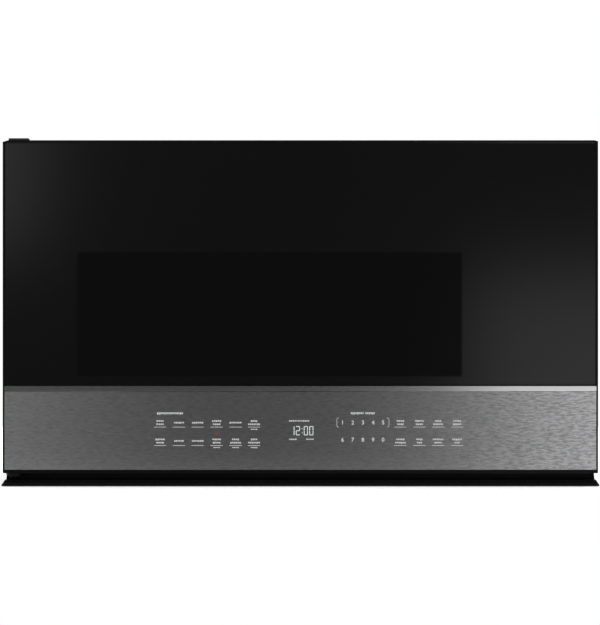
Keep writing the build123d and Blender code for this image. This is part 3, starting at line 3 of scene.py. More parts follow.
import bmesh
import bpy
import numpy as np
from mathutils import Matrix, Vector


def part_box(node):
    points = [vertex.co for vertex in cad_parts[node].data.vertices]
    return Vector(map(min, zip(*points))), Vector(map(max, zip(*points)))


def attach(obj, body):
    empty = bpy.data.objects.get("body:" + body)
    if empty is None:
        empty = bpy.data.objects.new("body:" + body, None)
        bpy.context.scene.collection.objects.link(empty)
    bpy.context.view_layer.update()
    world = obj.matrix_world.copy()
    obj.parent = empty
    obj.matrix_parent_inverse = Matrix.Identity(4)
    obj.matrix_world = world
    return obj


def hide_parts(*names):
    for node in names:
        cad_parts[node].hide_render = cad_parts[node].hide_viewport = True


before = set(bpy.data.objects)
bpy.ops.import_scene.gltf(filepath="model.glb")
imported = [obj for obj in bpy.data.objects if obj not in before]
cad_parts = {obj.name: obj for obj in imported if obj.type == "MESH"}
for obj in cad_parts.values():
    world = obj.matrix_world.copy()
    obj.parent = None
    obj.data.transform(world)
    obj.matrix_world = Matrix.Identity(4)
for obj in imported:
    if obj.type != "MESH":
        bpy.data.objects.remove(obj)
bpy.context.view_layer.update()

# ---- Camera ----
# A long lens looks straight at the middle of the door from 4.2 m away, as the picture was taken.

DOOR_FACE_Y = -0.2042
CAMERA_AWAY = 4.2
CAMERA_HEIGHT = 0.22155
CAMERA_SIDE = -0.0005
FILM_LONG_SIDE = 36.0
LENS = 189.83

lens = bpy.data.cameras.new("camera")
lens.sensor_width = FILM_LONG_SIDE
lens.lens = LENS
camera = bpy.data.objects.new("camera", lens)
camera.location = (CAMERA_SIDE, DOOR_FACE_Y - CAMERA_AWAY, CAMERA_HEIGHT)
camera.rotation_euler = (math.pi / 2, 0, 0)
bpy.context.scene.collection.objects.link(camera)
bpy.context.scene.camera = camera
bpy.context.scene.view_settings.view_transform = "Standard"

# ---- Floor, background and lamps ----
# A pale table top under a white background. The room is white behind the oven and dim behind the
# camera, with soft boxes beside the camera that the glass and the steel mirror over the table's front edge.

FLOOR_HALF = 1.8
FLOOR_FRONT = -0.25
FLOOR_REAR = 2.0
FLOOR_BELOW = 0.0005
FLOOR_COLOUR = "#efefee"
FLOOR_LIFT = 0.4
ROOM_DIFFUSE = 0.6
ROOM_DARK = 0.05
ROOM_WHITE = 0.95
DARK_UNTIL = -0.25        # by the way that a mirrored ray goes: -1 is to the camera, 1 is away from it
WHITE_FROM = 0.35
# name, middle, what it faces, width, height and watts
SOFT_BOXES = (
    ("box_left_tall", (-2.1, -9.2, 4.6), (0.0, 0.0, 0.2), 2.4, 3.4, 92.0),
    ("box_middle_tall", (0.0, -9.2, 4.6), (0.0, 0.0, 0.2), 1.8, 3.4, 18.0),
    ("box_right_tall", (2.1, -9.2, 4.6), (0.0, 0.0, 0.2), 2.4, 3.4, 270.0),
    ("box_left_glow", (-1.93, -10.0, 1.2), (0.0, 0.0, 0.3), 1.6, 1.4, 5.0),
    ("box_right_glow", (1.72, -10.0, -0.52), (0.0, 0.0, 0.3), 2.0, 1.8, 8.0),
    ("box_overhead", (0.0, 0.3, 3.2), (0.0, 0.0, 0.2), 3.0, 2.0, 40.0),
    ("box_back_left", (-2.8, 2.6, 2.2), (0.0, 0.1, 0.2), 1.6, 1.6, 30.0),
    ("box_back_right", (2.8, 2.6, 2.2), (0.0, 0.1, 0.2), 1.6, 1.6, 30.0),
)


def linear(code):
    """Linear red, green, blue and alpha of an sRGB hex colour."""
    parts = [int(code[i:i + 2], 16) / 255 for i in (1, 3, 5)]
    return [*(c / 12.92 if c <= 0.04045 else ((c + 0.055) / 1.055) ** 2.4 for c in parts), 1.0]


def add(tree, kind, inputs=None, **settings):
    """One more node: settings are its properties, inputs its sockets, each a value or a socket to link."""
    made = tree.nodes.new(kind)
    for name, value in settings.items():
        setattr(made, name, value)
    for name, value in (inputs or {}).items():
        if isinstance(value, bpy.types.NodeSocket):
            tree.links.new(value, made.inputs[name])
        else:
            made.inputs[name].default_value = value
    return made


def mesh_piece(name, points, faces, smooth=False):
    """An object at the origin whose mesh has these points and faces."""
    mesh = bpy.data.meshes.new(name)
    mesh.from_pydata(np.asarray(points).tolist(), [], faces)
    mesh.validate()
    mesh.polygons.foreach_set("use_smooth", np.full(len(mesh.polygons), smooth))
    piece = bpy.data.objects.new(name, mesh)
    bpy.context.scene.collection.objects.link(piece)
    return piece


corners = [(-FLOOR_HALF, FLOOR_FRONT, -FLOOR_BELOW), (FLOOR_HALF, FLOOR_FRONT, -FLOOR_BELOW),
           (FLOOR_HALF, FLOOR_REAR, -FLOOR_BELOW), (-FLOOR_HALF, FLOOR_REAR, -FLOOR_BELOW)]
floor = mesh_piece("floor", corners, [(0, 1, 2, 3)])
pale = bpy.data.materials.new("pale_floor_paint")
pale.use_nodes = True
tree = pale.node_tree
tree.nodes.clear()
ray = add(tree, "ShaderNodeLightPath").outputs
seen = add(tree, "ShaderNodeMath", {0: ray["Is Camera Ray"], 1: ray["Is Glossy Ray"]}, operation="MAXIMUM")
seen = add(tree, "ShaderNodeMath", {0: seen.outputs[0], 1: ray["Is Transmission Ray"]}, operation="MAXIMUM")
lift = add(tree, "ShaderNodeMath", {0: seen.outputs[0], 1: FLOOR_LIFT}, operation="MULTIPLY")
glow = add(tree, "ShaderNodeEmission", {"Color": (1, 1, 1, 1), "Strength": lift.outputs[0]})
matt = add(tree, "ShaderNodeBsdfDiffuse", {"Color": linear(FLOOR_COLOUR)})
both = add(tree, "ShaderNodeAddShader", {0: glow.outputs[0], 1: matt.outputs[0]})
add(tree, "ShaderNodeOutputMaterial", {"Surface": both.outputs[0]})
floor.data.materials.append(pale)

world = bpy.data.worlds.new("studio")
world.use_nodes = True
bpy.context.scene.world = world
tree = world.node_tree
tree.nodes.clear()
ray = add(tree, "ShaderNodeLightPath").outputs
way = add(tree, "ShaderNodeSeparateXYZ", {0: add(tree, "ShaderNodeTexCoord").outputs["Generated"]})
room = add(tree, "ShaderNodeMapRange",
           {"Value": way.outputs["Y"], "From Min": DARK_UNTIL, "From Max": WHITE_FROM,
            "To Min": ROOM_DARK, "To Max": ROOM_WHITE}, interpolation_type="SMOOTHSTEP")
level = add(tree, "ShaderNodeMix", {"Factor": ray["Is Glossy Ray"], "A": ROOM_DIFFUSE, "B": room.outputs[0]})
plain = add(tree, "ShaderNodeMath", {0: ray["Is Camera Ray"], 1: ray["Is Transmission Ray"]},
            operation="MAXIMUM")
level = add(tree, "ShaderNodeMix", {"Factor": plain.outputs[0], "A": level.outputs[0], "B": 1.0})
sky = add(tree, "ShaderNodeBackground", {"Color": (1, 1, 1, 1), "Strength": level.outputs[0]})
add(tree, "ShaderNodeOutputWorld", {"Surface": sky.outputs[0]})

for name, middle, facing, width, height, watts in SOFT_BOXES:
    lamp = bpy.data.lights.new(name, "AREA")
    lamp.shape = "RECTANGLE"
    lamp.size, lamp.size_y, lamp.energy = width, height, watts
    stand = bpy.data.objects.new(name, lamp)
    stand.location = middle
    aim = Vector(facing) - Vector(middle)
    stand.rotation_euler = aim.to_track_quat("-Z", "Y").to_euler()
    bpy.context.scene.collection.objects.link(stand)

# ---- Outer case, front plate and base pan ----
# Folded sheet steel with a baked satin black powder coat, whose faint orange peel breaks up its shine.
# The case is one wrap over the roof and both sides. The vent grille in the roof has the same coat.

POWDER_BLACK = "#141415"
POWDER_WORN = "#1c1c1d"
PEEL = 0.0022             # ripple spacing, drawn coarse enough to show
PEEL_TALL = 0.0002
DUST = 0.06
BEND_RADIUS = 0.0018
BEND_CHORDS = 5
FOLD_LEAST = 0.05         # a fold runs farther than this from front to back
ON_FACE = 1e-5
SAME_POINT = 1e-6


def finish(name, **sockets):
    """A new material with one principled shader: returns it, its tree, the shader and Object coordinates."""
    material = bpy.data.materials.new(name)
    material.use_nodes = True
    nodes = material.node_tree
    nodes.nodes.clear()
    inputs = {key.replace("_", " "): value for key, value in sockets.items()}
    shader = add(nodes, "ShaderNodeBsdfPrincipled", inputs)
    add(nodes, "ShaderNodeOutputMaterial", {"Surface": shader.outputs[0]})
    return material, nodes, shader, add(nodes, "ShaderNodeTexCoord").outputs["Object"]


def drive(shader, **sockets):
    """Links each given output to the shader's input of that name, with _ for a space."""
    for key, value in sockets.items():
        shader.id_data.links.new(value, shader.inputs[key.replace("_", " ")])


def coat(material, *pieces):
    """Gives CAD nodes, by name, or new pieces their material."""
    for piece in pieces:
        mesh = (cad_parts[piece] if isinstance(piece, str) else piece).data
        if not mesh.materials:
            mesh.materials.append(material)
        for i in range(len(mesh.materials)):
            mesh.materials[i] = material


def settle(piece, body, slot, *nodes):
    """A new piece rides on its body and stands for the nodes that it replaces. slot is not used."""
    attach(piece, body)
    if nodes:
        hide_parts(*nodes)


def merged(name, node):
    """A copy of a CAD node with its doubles merged and its flat triangles joined into whole faces."""
    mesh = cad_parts[node].data.copy()
    mesh.name = name
    shape = bmesh.new()
    shape.from_mesh(mesh)
    bmesh.ops.remove_doubles(shape, verts=shape.verts, dist=SAME_POINT)
    bmesh.ops.dissolve_limit(shape, angle_limit=math.radians(1), verts=shape.verts, edges=shape.edges)
    shape.to_mesh(mesh)
    shape.free()
    piece = bpy.data.objects.new(name, mesh)
    bpy.context.scene.collection.objects.link(piece)
    return piece


def bend(piece, radius, is_fold):
    """Rounds the edges that is_fold picks by their two ends: each becomes a quarter circle of chords."""
    shape = bmesh.new()
    shape.from_mesh(piece.data)
    folds = [edge for edge in shape.edges if is_fold(*(vert.co for vert in edge.verts))]
    bmesh.ops.bevel(shape, geom=folds, offset=radius, segments=BEND_CHORDS, profile=0.5,
                    affect="EDGES")
    shape.to_mesh(piece.data)
    shape.free()


def roof_fold(a, b):
    """Whether an edge is one of the two outer folds between the roof and a side."""
    on_top = min(a.z, b.z) > case_high[2] - ON_FACE
    on_side = min(abs(a.x), abs(b.x)) > case_high[0] - ON_FACE
    return on_top and on_side and abs(a.y - b.y) > FOLD_LEAST


def crease(piece, angle):
    """Keeps edges sharper than this many degrees crisp while the rest of a smooth mesh stays smooth."""
    piece.data.set_sharp_from_angle(angle=math.radians(angle))


case_low, case_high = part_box("outer_case")
wrap = merged("case_wrap", "outer_case")
bend(wrap, BEND_RADIUS, roof_fold)
wrap.data.polygons.foreach_set("use_smooth", np.ones(len(wrap.data.polygons), bool))
crease(wrap, 30)
settle(wrap, "case", "black_paint", "outer_case")
powder, tree, shader, place = finish("satin_black_powder_coat", Roughness=0.42, Specular_IOR_Level=0.35)
ripple = add(tree, "ShaderNodeTexNoise", {"Vector": place, "Scale": 1 / PEEL, "Detail": 2.0})
bump = add(tree, "ShaderNodeBump", {"Height": ripple.outputs[0], "Strength": 0.12, "Distance": PEEL_TALL})
cloud = add(tree, "ShaderNodeTexNoise", {"Vector": place, "Scale": 1 / DUST, "Detail": 5.0, "Roughness": 0.6})
shade = add(tree, "ShaderNodeMix",
            {"Factor": cloud.outputs[0], "A": linear(POWDER_BLACK), "B": linear(POWDER_WORN)},
            data_type="RGBA")
rough = add(tree, "ShaderNodeMapRange", {"Value": cloud.outputs[0], "To Min": 0.36, "To Max": 0.5})
drive(shader, Normal=bump.outputs[0], Base_Color=shade.outputs["Result"], Roughness=rough.outputs[0])
coat(powder, wrap, "front_plate", "base_pan", "top_vent_grille")

# ---- Rear panel, component tray, ducts and waveguide ----
# Hot dip galvanised sheet, cut and folded: each zinc crystal catches the light a little differently.
# These parts stay unpainted, because the wall or the case hides them.

ZINC_LIGHT = "#aeb2b4"
ZINC_DARK = "#9fa3a5"
SPANGLE = 0.006

galvanised, tree, shader, place = finish("hot_dip_galvanised_steel", Metallic=0.9, Roughness=0.42)
crystal = add(tree, "ShaderNodeTexVoronoi", {"Vector": place, "Scale": 1 / SPANGLE}, feature="F1")
tone = add(tree, "ShaderNodeSeparateColor", {0: crystal.outputs["Color"]}).outputs
shade = add(tree, "ShaderNodeMix", {"Factor": tone[0], "A": linear(ZINC_LIGHT), "B": linear(ZINC_DARK)},
            data_type="RGBA")
rough = add(tree, "ShaderNodeMapRange", {"Value": tone[1], "To Min": 0.34, "To Max": 0.52})
drive(shader, Base_Color=shade.outputs["Result"], Roughness=rough.outputs[0])
coat(galvanised, "rear_panel", "component_tray", "waveguide", "fan_shroud", "blower_housing", "exhaust_duct")

# ---- Outlet cover plates ----
# Loose plates of zinc coated sheet with a grey phosphate: duller and darker than the bare galvanised sheet.
# They close the two duct openings, in the roof and in the back.

PHOSPHATE = "#6c6f71"
PHOSPHATE_PALE = "#7c7f81"
GRAIN_OF_PHOSPHATE = 0.004

phosphated, tree, shader, place = finish("phosphated_zinc_sheet", Metallic=0.5, Roughness=0.62,
                                         Specular_IOR_Level=0.2)
cloud = add(tree, "ShaderNodeTexNoise", {"Vector": place, "Scale": 1 / GRAIN_OF_PHOSPHATE, "Detail": 4.0})
shade = add(tree, "ShaderNodeMix",
            {"Factor": cloud.outputs[0], "A": linear(PHOSPHATE), "B": linear(PHOSPHATE_PALE)},
            data_type="RGBA")
drive(shader, Base_Color=shade.outputs["Result"])
coat(phosphated, "outlet_covers")

# ---- Mounting brackets, magnetron, turntable motor and latch spring ----
# Zinc plated steel, pressed or wound, with a clear passivate: smooth, cool grey and a little cloudy.
# The brackets stand under the roof and take the cabinet bolts.

PLATED = "#b9bcbd"
PLATED_DULL = "#989b9e"
CLOUD = 0.018

plated, tree, shader, place = finish("clear_passivated_zinc_plate", Metallic=1.0, Roughness=0.3)
cloud = add(tree, "ShaderNodeTexNoise", {"Vector": place, "Scale": 1 / CLOUD, "Detail": 4.0})
shade = add(tree, "ShaderNodeMix",
            {"Factor": cloud.outputs[0], "A": linear(PLATED), "B": linear(PLATED_DULL)},
            data_type="RGBA")
rough = add(tree, "ShaderNodeMapRange", {"Value": cloud.outputs[0], "To Min": 0.22, "To Max": 0.42})
drive(shader, Base_Color=shade.outputs["Result"], Roughness=rough.outputs[0])
coat(plated, "mount_brackets", "magnetron", "turntable_motor", "latch_spring")

# ---- Case screws ----
# Pan head steel screws, zinc plated, with a domed head and a cross recess pressed into it.
# They hold the sheet parts of the case together.

HEAD_RADIUS = 0.004
HEAD_HEIGHT = 0.0016
HEAD_EDGE = 0.0005
HEAD_SIDES = 32
HEAD_WALL = 0.45          # the straight wall's share of the head's height
DOME_DROP = 0.45          # how far the dome falls at its edge, as a share of that height
DOME_START = 0.97
DOME_RINGS = 14
HEAD_SLACK = 1e-4
RECESS_ARM = 0.0022
RECESS_HALF = 0.00045
RECESS_DEPTH = 0.0009
SHANK_RADIUS = 0.0019
SHANK_LENGTH = 0.004


def shells(name, grids, caps=True, smooth=True):
    """One mesh of closed shells. Each grid is a row of rings of points: rings are joined to the next by
    quads, and the first and last are filled, or with caps off joined to each other as a loop."""
    grids = np.asarray(grids, float)
    grids = grids[None] if grids.ndim == 3 else grids
    count, rings, points = grids.shape[:3]
    along = np.arange(rings - 1 if caps else rings)[:, None]
    around = np.arange(points)[None, :]
    after = (along + 1) % rings
    beside = (around + 1) % points
    quads = np.stack([along * points + around, along * points + beside, after * points + beside,
                      after * points + around], -1).reshape(-1, 4)
    steps = np.arange(count)[:, None, None] * rings * points
    faces = (quads[None] + steps).reshape(-1, 4).tolist()
    if caps:
        start = np.arange(count)[:, None] * rings * points
        faces += (start + np.arange(points)[None, ::-1]).tolist()
        faces += (start + (rings - 1) * points + np.arange(points)[None]).tolist()
    piece = mesh_piece(name, grids.reshape(-1, 3), faces, smooth)
    shape = bmesh.new()
    shape.from_mesh(piece.data)
    bmesh.ops.remove_doubles(shape, verts=shape.verts, dist=SAME_POINT)
    bmesh.ops.recalc_face_normals(shape, faces=shape.faces)
    shape.to_mesh(piece.data)
    shape.free()
    return piece


def screw_rings():
    """A screw about its own axis, as rings from the shank's end to the middle of the head. The dome falls
    with the square of the radius, and is sunk by the recess wherever either arm of the cross runs."""
    turn = np.linspace(0, 2 * math.pi, HEAD_SIDES + 1)[:-1]
    radius = np.array([0.0, SHANK_RADIUS, SHANK_RADIUS, HEAD_RADIUS - HEAD_EDGE / 2, HEAD_RADIUS,
                       HEAD_RADIUS])
    height = np.array([-SHANK_LENGTH, -SHANK_LENGTH, 0.0, 0.0, HEAD_EDGE / 2, HEAD_HEIGHT * HEAD_WALL])
    top = np.linspace(HEAD_RADIUS * DOME_START, 0.0, DOME_RINGS)
    radius = np.concatenate([radius, top])
    height = np.concatenate([height, HEAD_HEIGHT * (1 - DOME_DROP * (top / HEAD_RADIUS) ** 2)])
    x = radius[:, None] * np.cos(turn)
    y = radius[:, None] * np.sin(turn)
    z = height[:, None] + 0 * x
    arm = (np.minimum(np.abs(x), np.abs(y)) < RECESS_HALF) & (np.hypot(x, y) < RECESS_ARM)
    z = z - RECESS_DEPTH * (arm & (z > HEAD_HEIGHT * 0.5))
    return np.stack([x, y, z], -1)


def screw_seats():
    """The points of each case screw of the CAD node. Triangles that share a point take the lowest label
    among them, again and again, until every screw has one label of its own."""
    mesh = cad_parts["case_screws"].data
    points = np.empty(len(mesh.vertices) * 3)
    corner = np.empty(len(mesh.loops), int)
    mesh.vertices.foreach_get("co", points)
    mesh.loops.foreach_get("vertex_index", corner)
    points, index = np.unique(points.reshape(-1, 3).round(6), axis=0, return_inverse=True)
    corner = index.ravel()[corner].reshape(-1, 3)
    label = np.arange(len(points))
    before = label + 1
    while (label != before).any():
        before = label.copy()
        np.minimum.at(label, corner.ravel(), np.repeat(label[corner].min(1), 3))
    return [points[label == one] for one in np.unique(label)]


def placed_screws():
    """Every screw: the axis is the one way in which the part isn't as wide as its head, and the head is at
    the end whose points lie farther from that axis."""
    rings = screw_rings()
    placed = []
    for points in screw_seats():
        middle = (points.min(0) + points.max(0)) / 2
        size = np.ptp(points, axis=0)
        axis = int(np.argmin(np.abs(size - 2 * HEAD_RADIUS) < HEAD_SLACK))
        others = [i for i in range(3) if i != axis]
        far = np.hypot(*(points[:, others] - middle[others]).T)
        head = points[far > SHANK_RADIUS * 1.5][:, axis]
        out = 1.0 if head.mean() > middle[axis] else -1.0
        seat = head.min() if out > 0 else head.max()
        made = np.empty_like(rings)
        made[..., others[0]] = middle[others[0]] + rings[..., 0]
        made[..., others[1]] = middle[others[1]] + rings[..., 1]
        grown = np.clip(rings[..., 2], -SHANK_LENGTH, np.ptp(head))
        made[..., axis] = seat + out * grown
        placed.append(made)
    return placed


screws = shells("pan_head_screws", placed_screws())
crease(screws, 35)
settle(screws, "case", "zinc_steel", "case_screws")
coat(plated, screws)

# ---- Base lip, door frame and rear cover ----
# Injection moulded black ABS with a fine spark eroded grain, whose edges are rounded by the mould.
# The lip closes the base at the front, and the frame runs round the door behind its glass.

ABS_BLACK = "#070707"
GRAIN = 0.0009            # drawn coarser than the real 0.1 mm grain, so that it shows
LIP_WALL = 0.005
LIP_CORNER = 0.0052
LIP_CLEAR = 0.0003        # between the lip and the case that it closes round
PAST = 0.001              # how far a cut reaches past what it cuts
# how far along and how far down each top corner of the door is cut, left and right
CORNERS_CUT = ((-1, 0.0073, 0.0021), (1, 0.0046, 0.0012))
EAR_OUT = 0.37705
EAR_IN = 0.3763
EAR_FRONT = -0.1805
EAR_BACK = -0.167
EAR_TOP = 0.0164
EAR_SUNK = 0.001

abs_black, tree, shader, place = finish("spark_grained_black_abs", Base_Color=linear(ABS_BLACK),
                                        Roughness=0.26, Specular_IOR_Level=0.2)
grit = add(tree, "ShaderNodeTexNoise", {"Vector": place, "Scale": 1 / GRAIN, "Detail": 1.0})
bump = add(tree, "ShaderNodeBump", {"Height": grit.outputs[0], "Strength": 0.1, "Distance": 0.0001})
drive(shader, Normal=bump.outputs[0])


def carve(piece, corners):
    """Takes a block out of a closed piece. Its eight corners go through X, then Y, then Z, low first."""
    sides = [(0, 1, 3, 2), (4, 6, 7, 5), (0, 4, 5, 1), (2, 3, 7, 6), (0, 2, 6, 4), (1, 5, 7, 3)]
    block = mesh_piece("carving_block", corners, sides)
    cut = piece.modifiers.new("carve", "BOOLEAN")
    cut.operation, cut.solver, cut.object = "DIFFERENCE", "EXACT", block
    made = bpy.data.meshes.new_from_object(piece.evaluated_get(bpy.context.evaluated_depsgraph_get()))
    piece.modifiers.remove(cut)
    piece.data = made
    bpy.data.objects.remove(block)


lip_low, lip_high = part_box("base_lip")
# The lip's profile from the bottom up: how high each point is, and how far in from the widest place. It
# has a rounded toe and then a concave flare.
rise = np.array([0.0, 0.0, 0.0003, 0.0009, 0.0016, 0.0024, 0.0036, 0.005, 0.0065, 0.0074, lip_high[2]])
inset = np.array([0.003, 0.0012, 0.0005, 0.0001, 0.0, 0.0004, 0.0014, 0.0025, 0.0035, 0.0041, 0.0044])
side_x = case_high[0] + LIP_CLEAR
front_y = case_low[1] - LIP_CLEAR
sweep = np.linspace(0, math.pi / 2, 7)
across = lip_high[0] - LIP_CORNER + (LIP_CORNER - inset)[:, None] * np.cos(sweep)
ahead = lip_low[1] + LIP_CORNER - (LIP_CORNER - inset)[:, None] * np.sin(sweep)
wide = lip_high[0] - inset[:, None]
same = np.ones((rise.size, 1))
rings = np.empty((rise.size, 2 * sweep.size + 6, 3))
rings[..., 0] = np.hstack([wide, across, -across[:, ::-1], -wide,
                           -side_x * same, -side_x * same, side_x * same, side_x * same])
rings[..., 1] = np.hstack([lip_high[1] * same, ahead, ahead[:, ::-1], lip_high[1] * same,
                           lip_high[1] * same, front_y * same, front_y * same, lip_high[1] * same])
rings[..., 2] = rise[:, None]
flare = shells("flared_lip", rings)
carve(flare, [(x, y, z) for x in (-side_x, side_x) for y in (lip_low[1] + LIP_WALL, front_y - LIP_WALL)
              for z in (-PAST, lip_high[2] - LIP_WALL / 2)])
crease(flare, 30)
ears = [[[(x0, front, z), (x1, front, z), (x1, front_y, z), (x0, front_y, z)]
         for front, z in ((EAR_FRONT, lip_high[2] - EAR_SUNK), (EAR_BACK, EAR_TOP))]
        for x0, x1 in ((-EAR_OUT, -EAR_IN), (EAR_IN, EAR_OUT))]
upstand = shells("lip_upstands", ears, smooth=False)
settle(flare, "case", "black_moulding", "base_lip")
settle(upstand, "case", "black_moulding")
rim_low, rim_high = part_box("door_frame")
rim = merged("door_rim", "door_frame")
for side, along, drop in CORNERS_CUT:
    span = sorted((side * (rim_high[0] - along), side * (rim_high[0] + PAST)))
    carve(rim, [(x, y, z) for x in span for y in (rim_low[1] - PAST, rim_high[1] + PAST)
                for z in (rim_high[2] - drop * (abs(x) - rim_high[0] + along) / along,
                          rim_high[2] + 5 * PAST)])
settle(rim, "door", "black_moulding", "door_frame")
coat(abs_black, flare, upstand, rim, "rear_cover")


# ---- Upper hinge arm with its cap, and the hinge steel ----
# A pressed steel arm over the door's corner, with a moulded cap on it. Both lean sideways, as the picture
# shows, over a pin that stays where it is. The hinge steel is primed with black electrocoat, dull and even.

PIN = (-0.365, -0.190)
HINGE_LEAN = 0.0066
LEAN_LONG = 0.078
ARM_EYE = 0.005           # the arm's eye round the pin doesn't lean
CAP_EDGE = 0.0003
PRIMER_BLACK = "#0b0b0c"


def ease(piece, width):
    """Rounds a piece's sharp edges: doubles are welded, flat faces joined, and edges bevelled."""
    weld = piece.modifiers.new("weld", "WELD")
    weld.merge_threshold = SAME_POINT
    flat = piece.modifiers.new("flat", "DECIMATE")
    flat.decimate_type = "DISSOLVE"
    flat.angle_limit = math.radians(1)
    edge = piece.modifiers.new("edge", "BEVEL")
    edge.width = width
    edge.segments = 2
    edge.limit_method = "ANGLE"
    edge.angle_limit = math.radians(40)
    edge.harden_normals = True


def leaned(name, node, still):
    """A merged copy of a node whose points slide along X by a lean that falls to nothing towards the back.
    Points within the still distance of the hinge pin keep their places."""
    piece = merged(name, node)
    points = np.empty(len(piece.data.vertices) * 3)
    piece.data.vertices.foreach_get("co", points)
    points = points.reshape(-1, 3)
    slide = np.clip(HINGE_LEAN * (1 - (points[:, 1] - rim_low[1]) / LEAN_LONG), 0, None)
    far = np.hypot(points[:, 0] - PIN[0], points[:, 1] - PIN[1]) > still
    points[:, 0] += slide * far
    piece.data.vertices.foreach_set("co", points.ravel())
    return piece


arm = leaned("upper_hinge_arm", "upper_hinge_bracket", ARM_EYE)
cap = leaned("hinge_cap", "hinge_cover", 0.0)
ease(cap, CAP_EDGE)
settle(arm, "case", "black_paint", "upper_hinge_bracket")
settle(cap, "case", "black_plastic", "hinge_cover")
primed, tree, shader, place = finish("black_electrocoat", Base_Color=linear(PRIMER_BLACK), Roughness=0.55,
                                     Specular_IOR_Level=0.15)
cloud = add(tree, "ShaderNodeTexNoise", {"Vector": place, "Scale": 1 / DUST, "Detail": 3.0})
rough = add(tree, "ShaderNodeMapRange", {"Value": cloud.outputs[0], "To Min": 0.5, "To Max": 0.62})
drive(shader, Roughness=rough.outputs[0])
coat(primed, arm, "lower_hinge_bracket", "hinge_pins")

# ---- Small black mouldings ----
# Glass filled nylon and phenolic parts: flat, a little greyer than the ABS, with no shine to speak of.
# They are the hinge's cap, the cord gland, the thermal cut-outs, the choke cover and the switches.

NYLON = "#1b1b1c"

nylon, tree, shader, place = finish("glass_filled_black_nylon", Base_Color=linear(NYLON), Roughness=0.5)
fleck = add(tree, "ShaderNodeTexNoise", {"Vector": place, "Scale": 1 / GRAIN, "Detail": 3.0})
rough = add(tree, "ShaderNodeMapRange", {"Value": fleck.outputs[0], "To Min": 0.42, "To Max": 0.6})
drive(shader, Roughness=rough.outputs[0])
coat(nylon, cap, "cord_gland", "thermal_cutouts", "choke_cover", "interlock_switches")

# ---- Oven cavity ----
# Pressed and spot welded steel with a grey stove enamel, speckled light and dark and glossy.
# The speckles are drawn 2.8 mm apart, coarser than real ones, so that they show.

ENAMEL = "#8e9193"
ENAMEL_LIGHT = "#b4b7b8"
ENAMEL_DARK = "#5d6063"
SPECK = 0.0028
SPECK_SHARE = 0.28        # how much of each cell its speck takes up

enamel, tree, shader, place = finish("speckled_grey_stove_enamel", Roughness=0.28)
speck = add(tree, "ShaderNodeTexVoronoi", {"Vector": place, "Scale": 1 / SPECK}, feature="F1")
pick = add(tree, "ShaderNodeSeparateColor", {0: speck.outputs["Color"]}).outputs
near = add(tree, "ShaderNodeMath", {0: speck.outputs["Distance"], 1: SPECK_SHARE}, operation="LESS_THAN")
shade = add(tree, "ShaderNodeMix", {"Factor": pick[0], "A": linear(ENAMEL_DARK), "B": linear(ENAMEL_LIGHT)},
            data_type="RGBA")
shade = add(tree, "ShaderNodeMix",
            {"Factor": near.outputs[0], "A": linear(ENAMEL), "B": shade.outputs["Result"]},
            data_type="RGBA")
drive(shader, Base_Color=shade.outputs["Result"])
coat(enamel, "cavity_liner")

# ---- White mouldings ----
# Polypropylene and acetal parts: the lamp cover, the fans, the roller ring with its rollers, the coupler,
# the bushes, the latch and its board. Slightly waxy, with a little light in the thin walls.

POLYPROPYLENE = "#dcdad4"
FLOW = 0.02               # spacing of the faint flow marks

white, tree, shader, place = finish("natural_white_acetal", Base_Color=linear(POLYPROPYLENE), Roughness=0.38,
                                    Subsurface_Weight=0.08, Subsurface_Scale=0.002)
flow = add(tree, "ShaderNodeTexNoise", {"Vector": place, "Scale": 1 / FLOW, "Detail": 2.0})
rough = add(tree, "ShaderNodeMapRange", {"Value": flow.outputs[0], "To Min": 0.3, "To Max": 0.46})
drive(shader, Roughness=rough.outputs[0])
coat(white, "cavity_lamp", "fan_blade", "blower_rotor", "turntable_coupler", "roller_ring", "roller_1",
     "roller_2", "roller_3", "door_bushes", "door_latch", "latch_board")

# ---- Waveguide cover ----
# A cut sheet of pressed mica, the window that the microwaves enter by: pale gold flakes with soft sheen.
# It covers the waveguide's opening into the cavity.

MICA_PALE = "#c8bb9a"
MICA_DARK = "#9c8a66"
FLAKE = 0.006

mica, tree, shader, place = finish("pressed_mica_sheet", Roughness=0.35, Metallic=0.15)
flake = add(tree, "ShaderNodeTexVoronoi", {"Vector": place, "Scale": 1 / FLAKE}, feature="F1")
tone = add(tree, "ShaderNodeSeparateColor", {0: flake.outputs["Color"]}).outputs
shade = add(tree, "ShaderNodeMix", {"Factor": tone[0], "A": linear(MICA_PALE), "B": linear(MICA_DARK)},
            data_type="RGBA")
drive(shader, Base_Color=shade.outputs["Result"])
coat(mica, "waveguide_cover")

# ---- Transformer and motor cores ----
# Stacks of silicon steel stampings under a clear lacquer: fine bright lines along each stack.
# The windings and housings of the same pieces share this finish, as nothing shows them apart.

CORE_BRIGHT = "#7d7a76"
CORE_DARK = "#3a3836"
STAMPING = 0.002          # four 0.5 mm stampings to a line, so that the lines show
WAVE_CYCLES = 3.2         # lines that a band pattern draws to each unit of its scale

cores, tree, shader, place = finish("lacquered_core_stampings", Metallic=0.7, Roughness=0.45)
line = add(tree, "ShaderNodeTexWave",
           {"Vector": place, "Scale": 1 / STAMPING / WAVE_CYCLES, "Distortion": 0.4},
           wave_type="BANDS", bands_direction="Y")
shade = add(tree, "ShaderNodeMix",
            {"Factor": line.outputs["Fac"], "A": linear(CORE_DARK), "B": linear(CORE_BRIGHT)},
            data_type="RGBA")
drive(shader, Base_Color=shade.outputs["Result"])
coat(cores, "transformer", "fan_motor", "blower_motor")

# ---- Capacitor ----
# A drawn aluminium can, matt from its caustic wash, with faint draw lines along it.
# Its diode is part of the same piece.

CAN = "#b8babb"
DRAW_LINES = (40.0, 900.0, 900.0)     # to the metre: 25 mm long and 1.1 mm apart, coarser than real ones

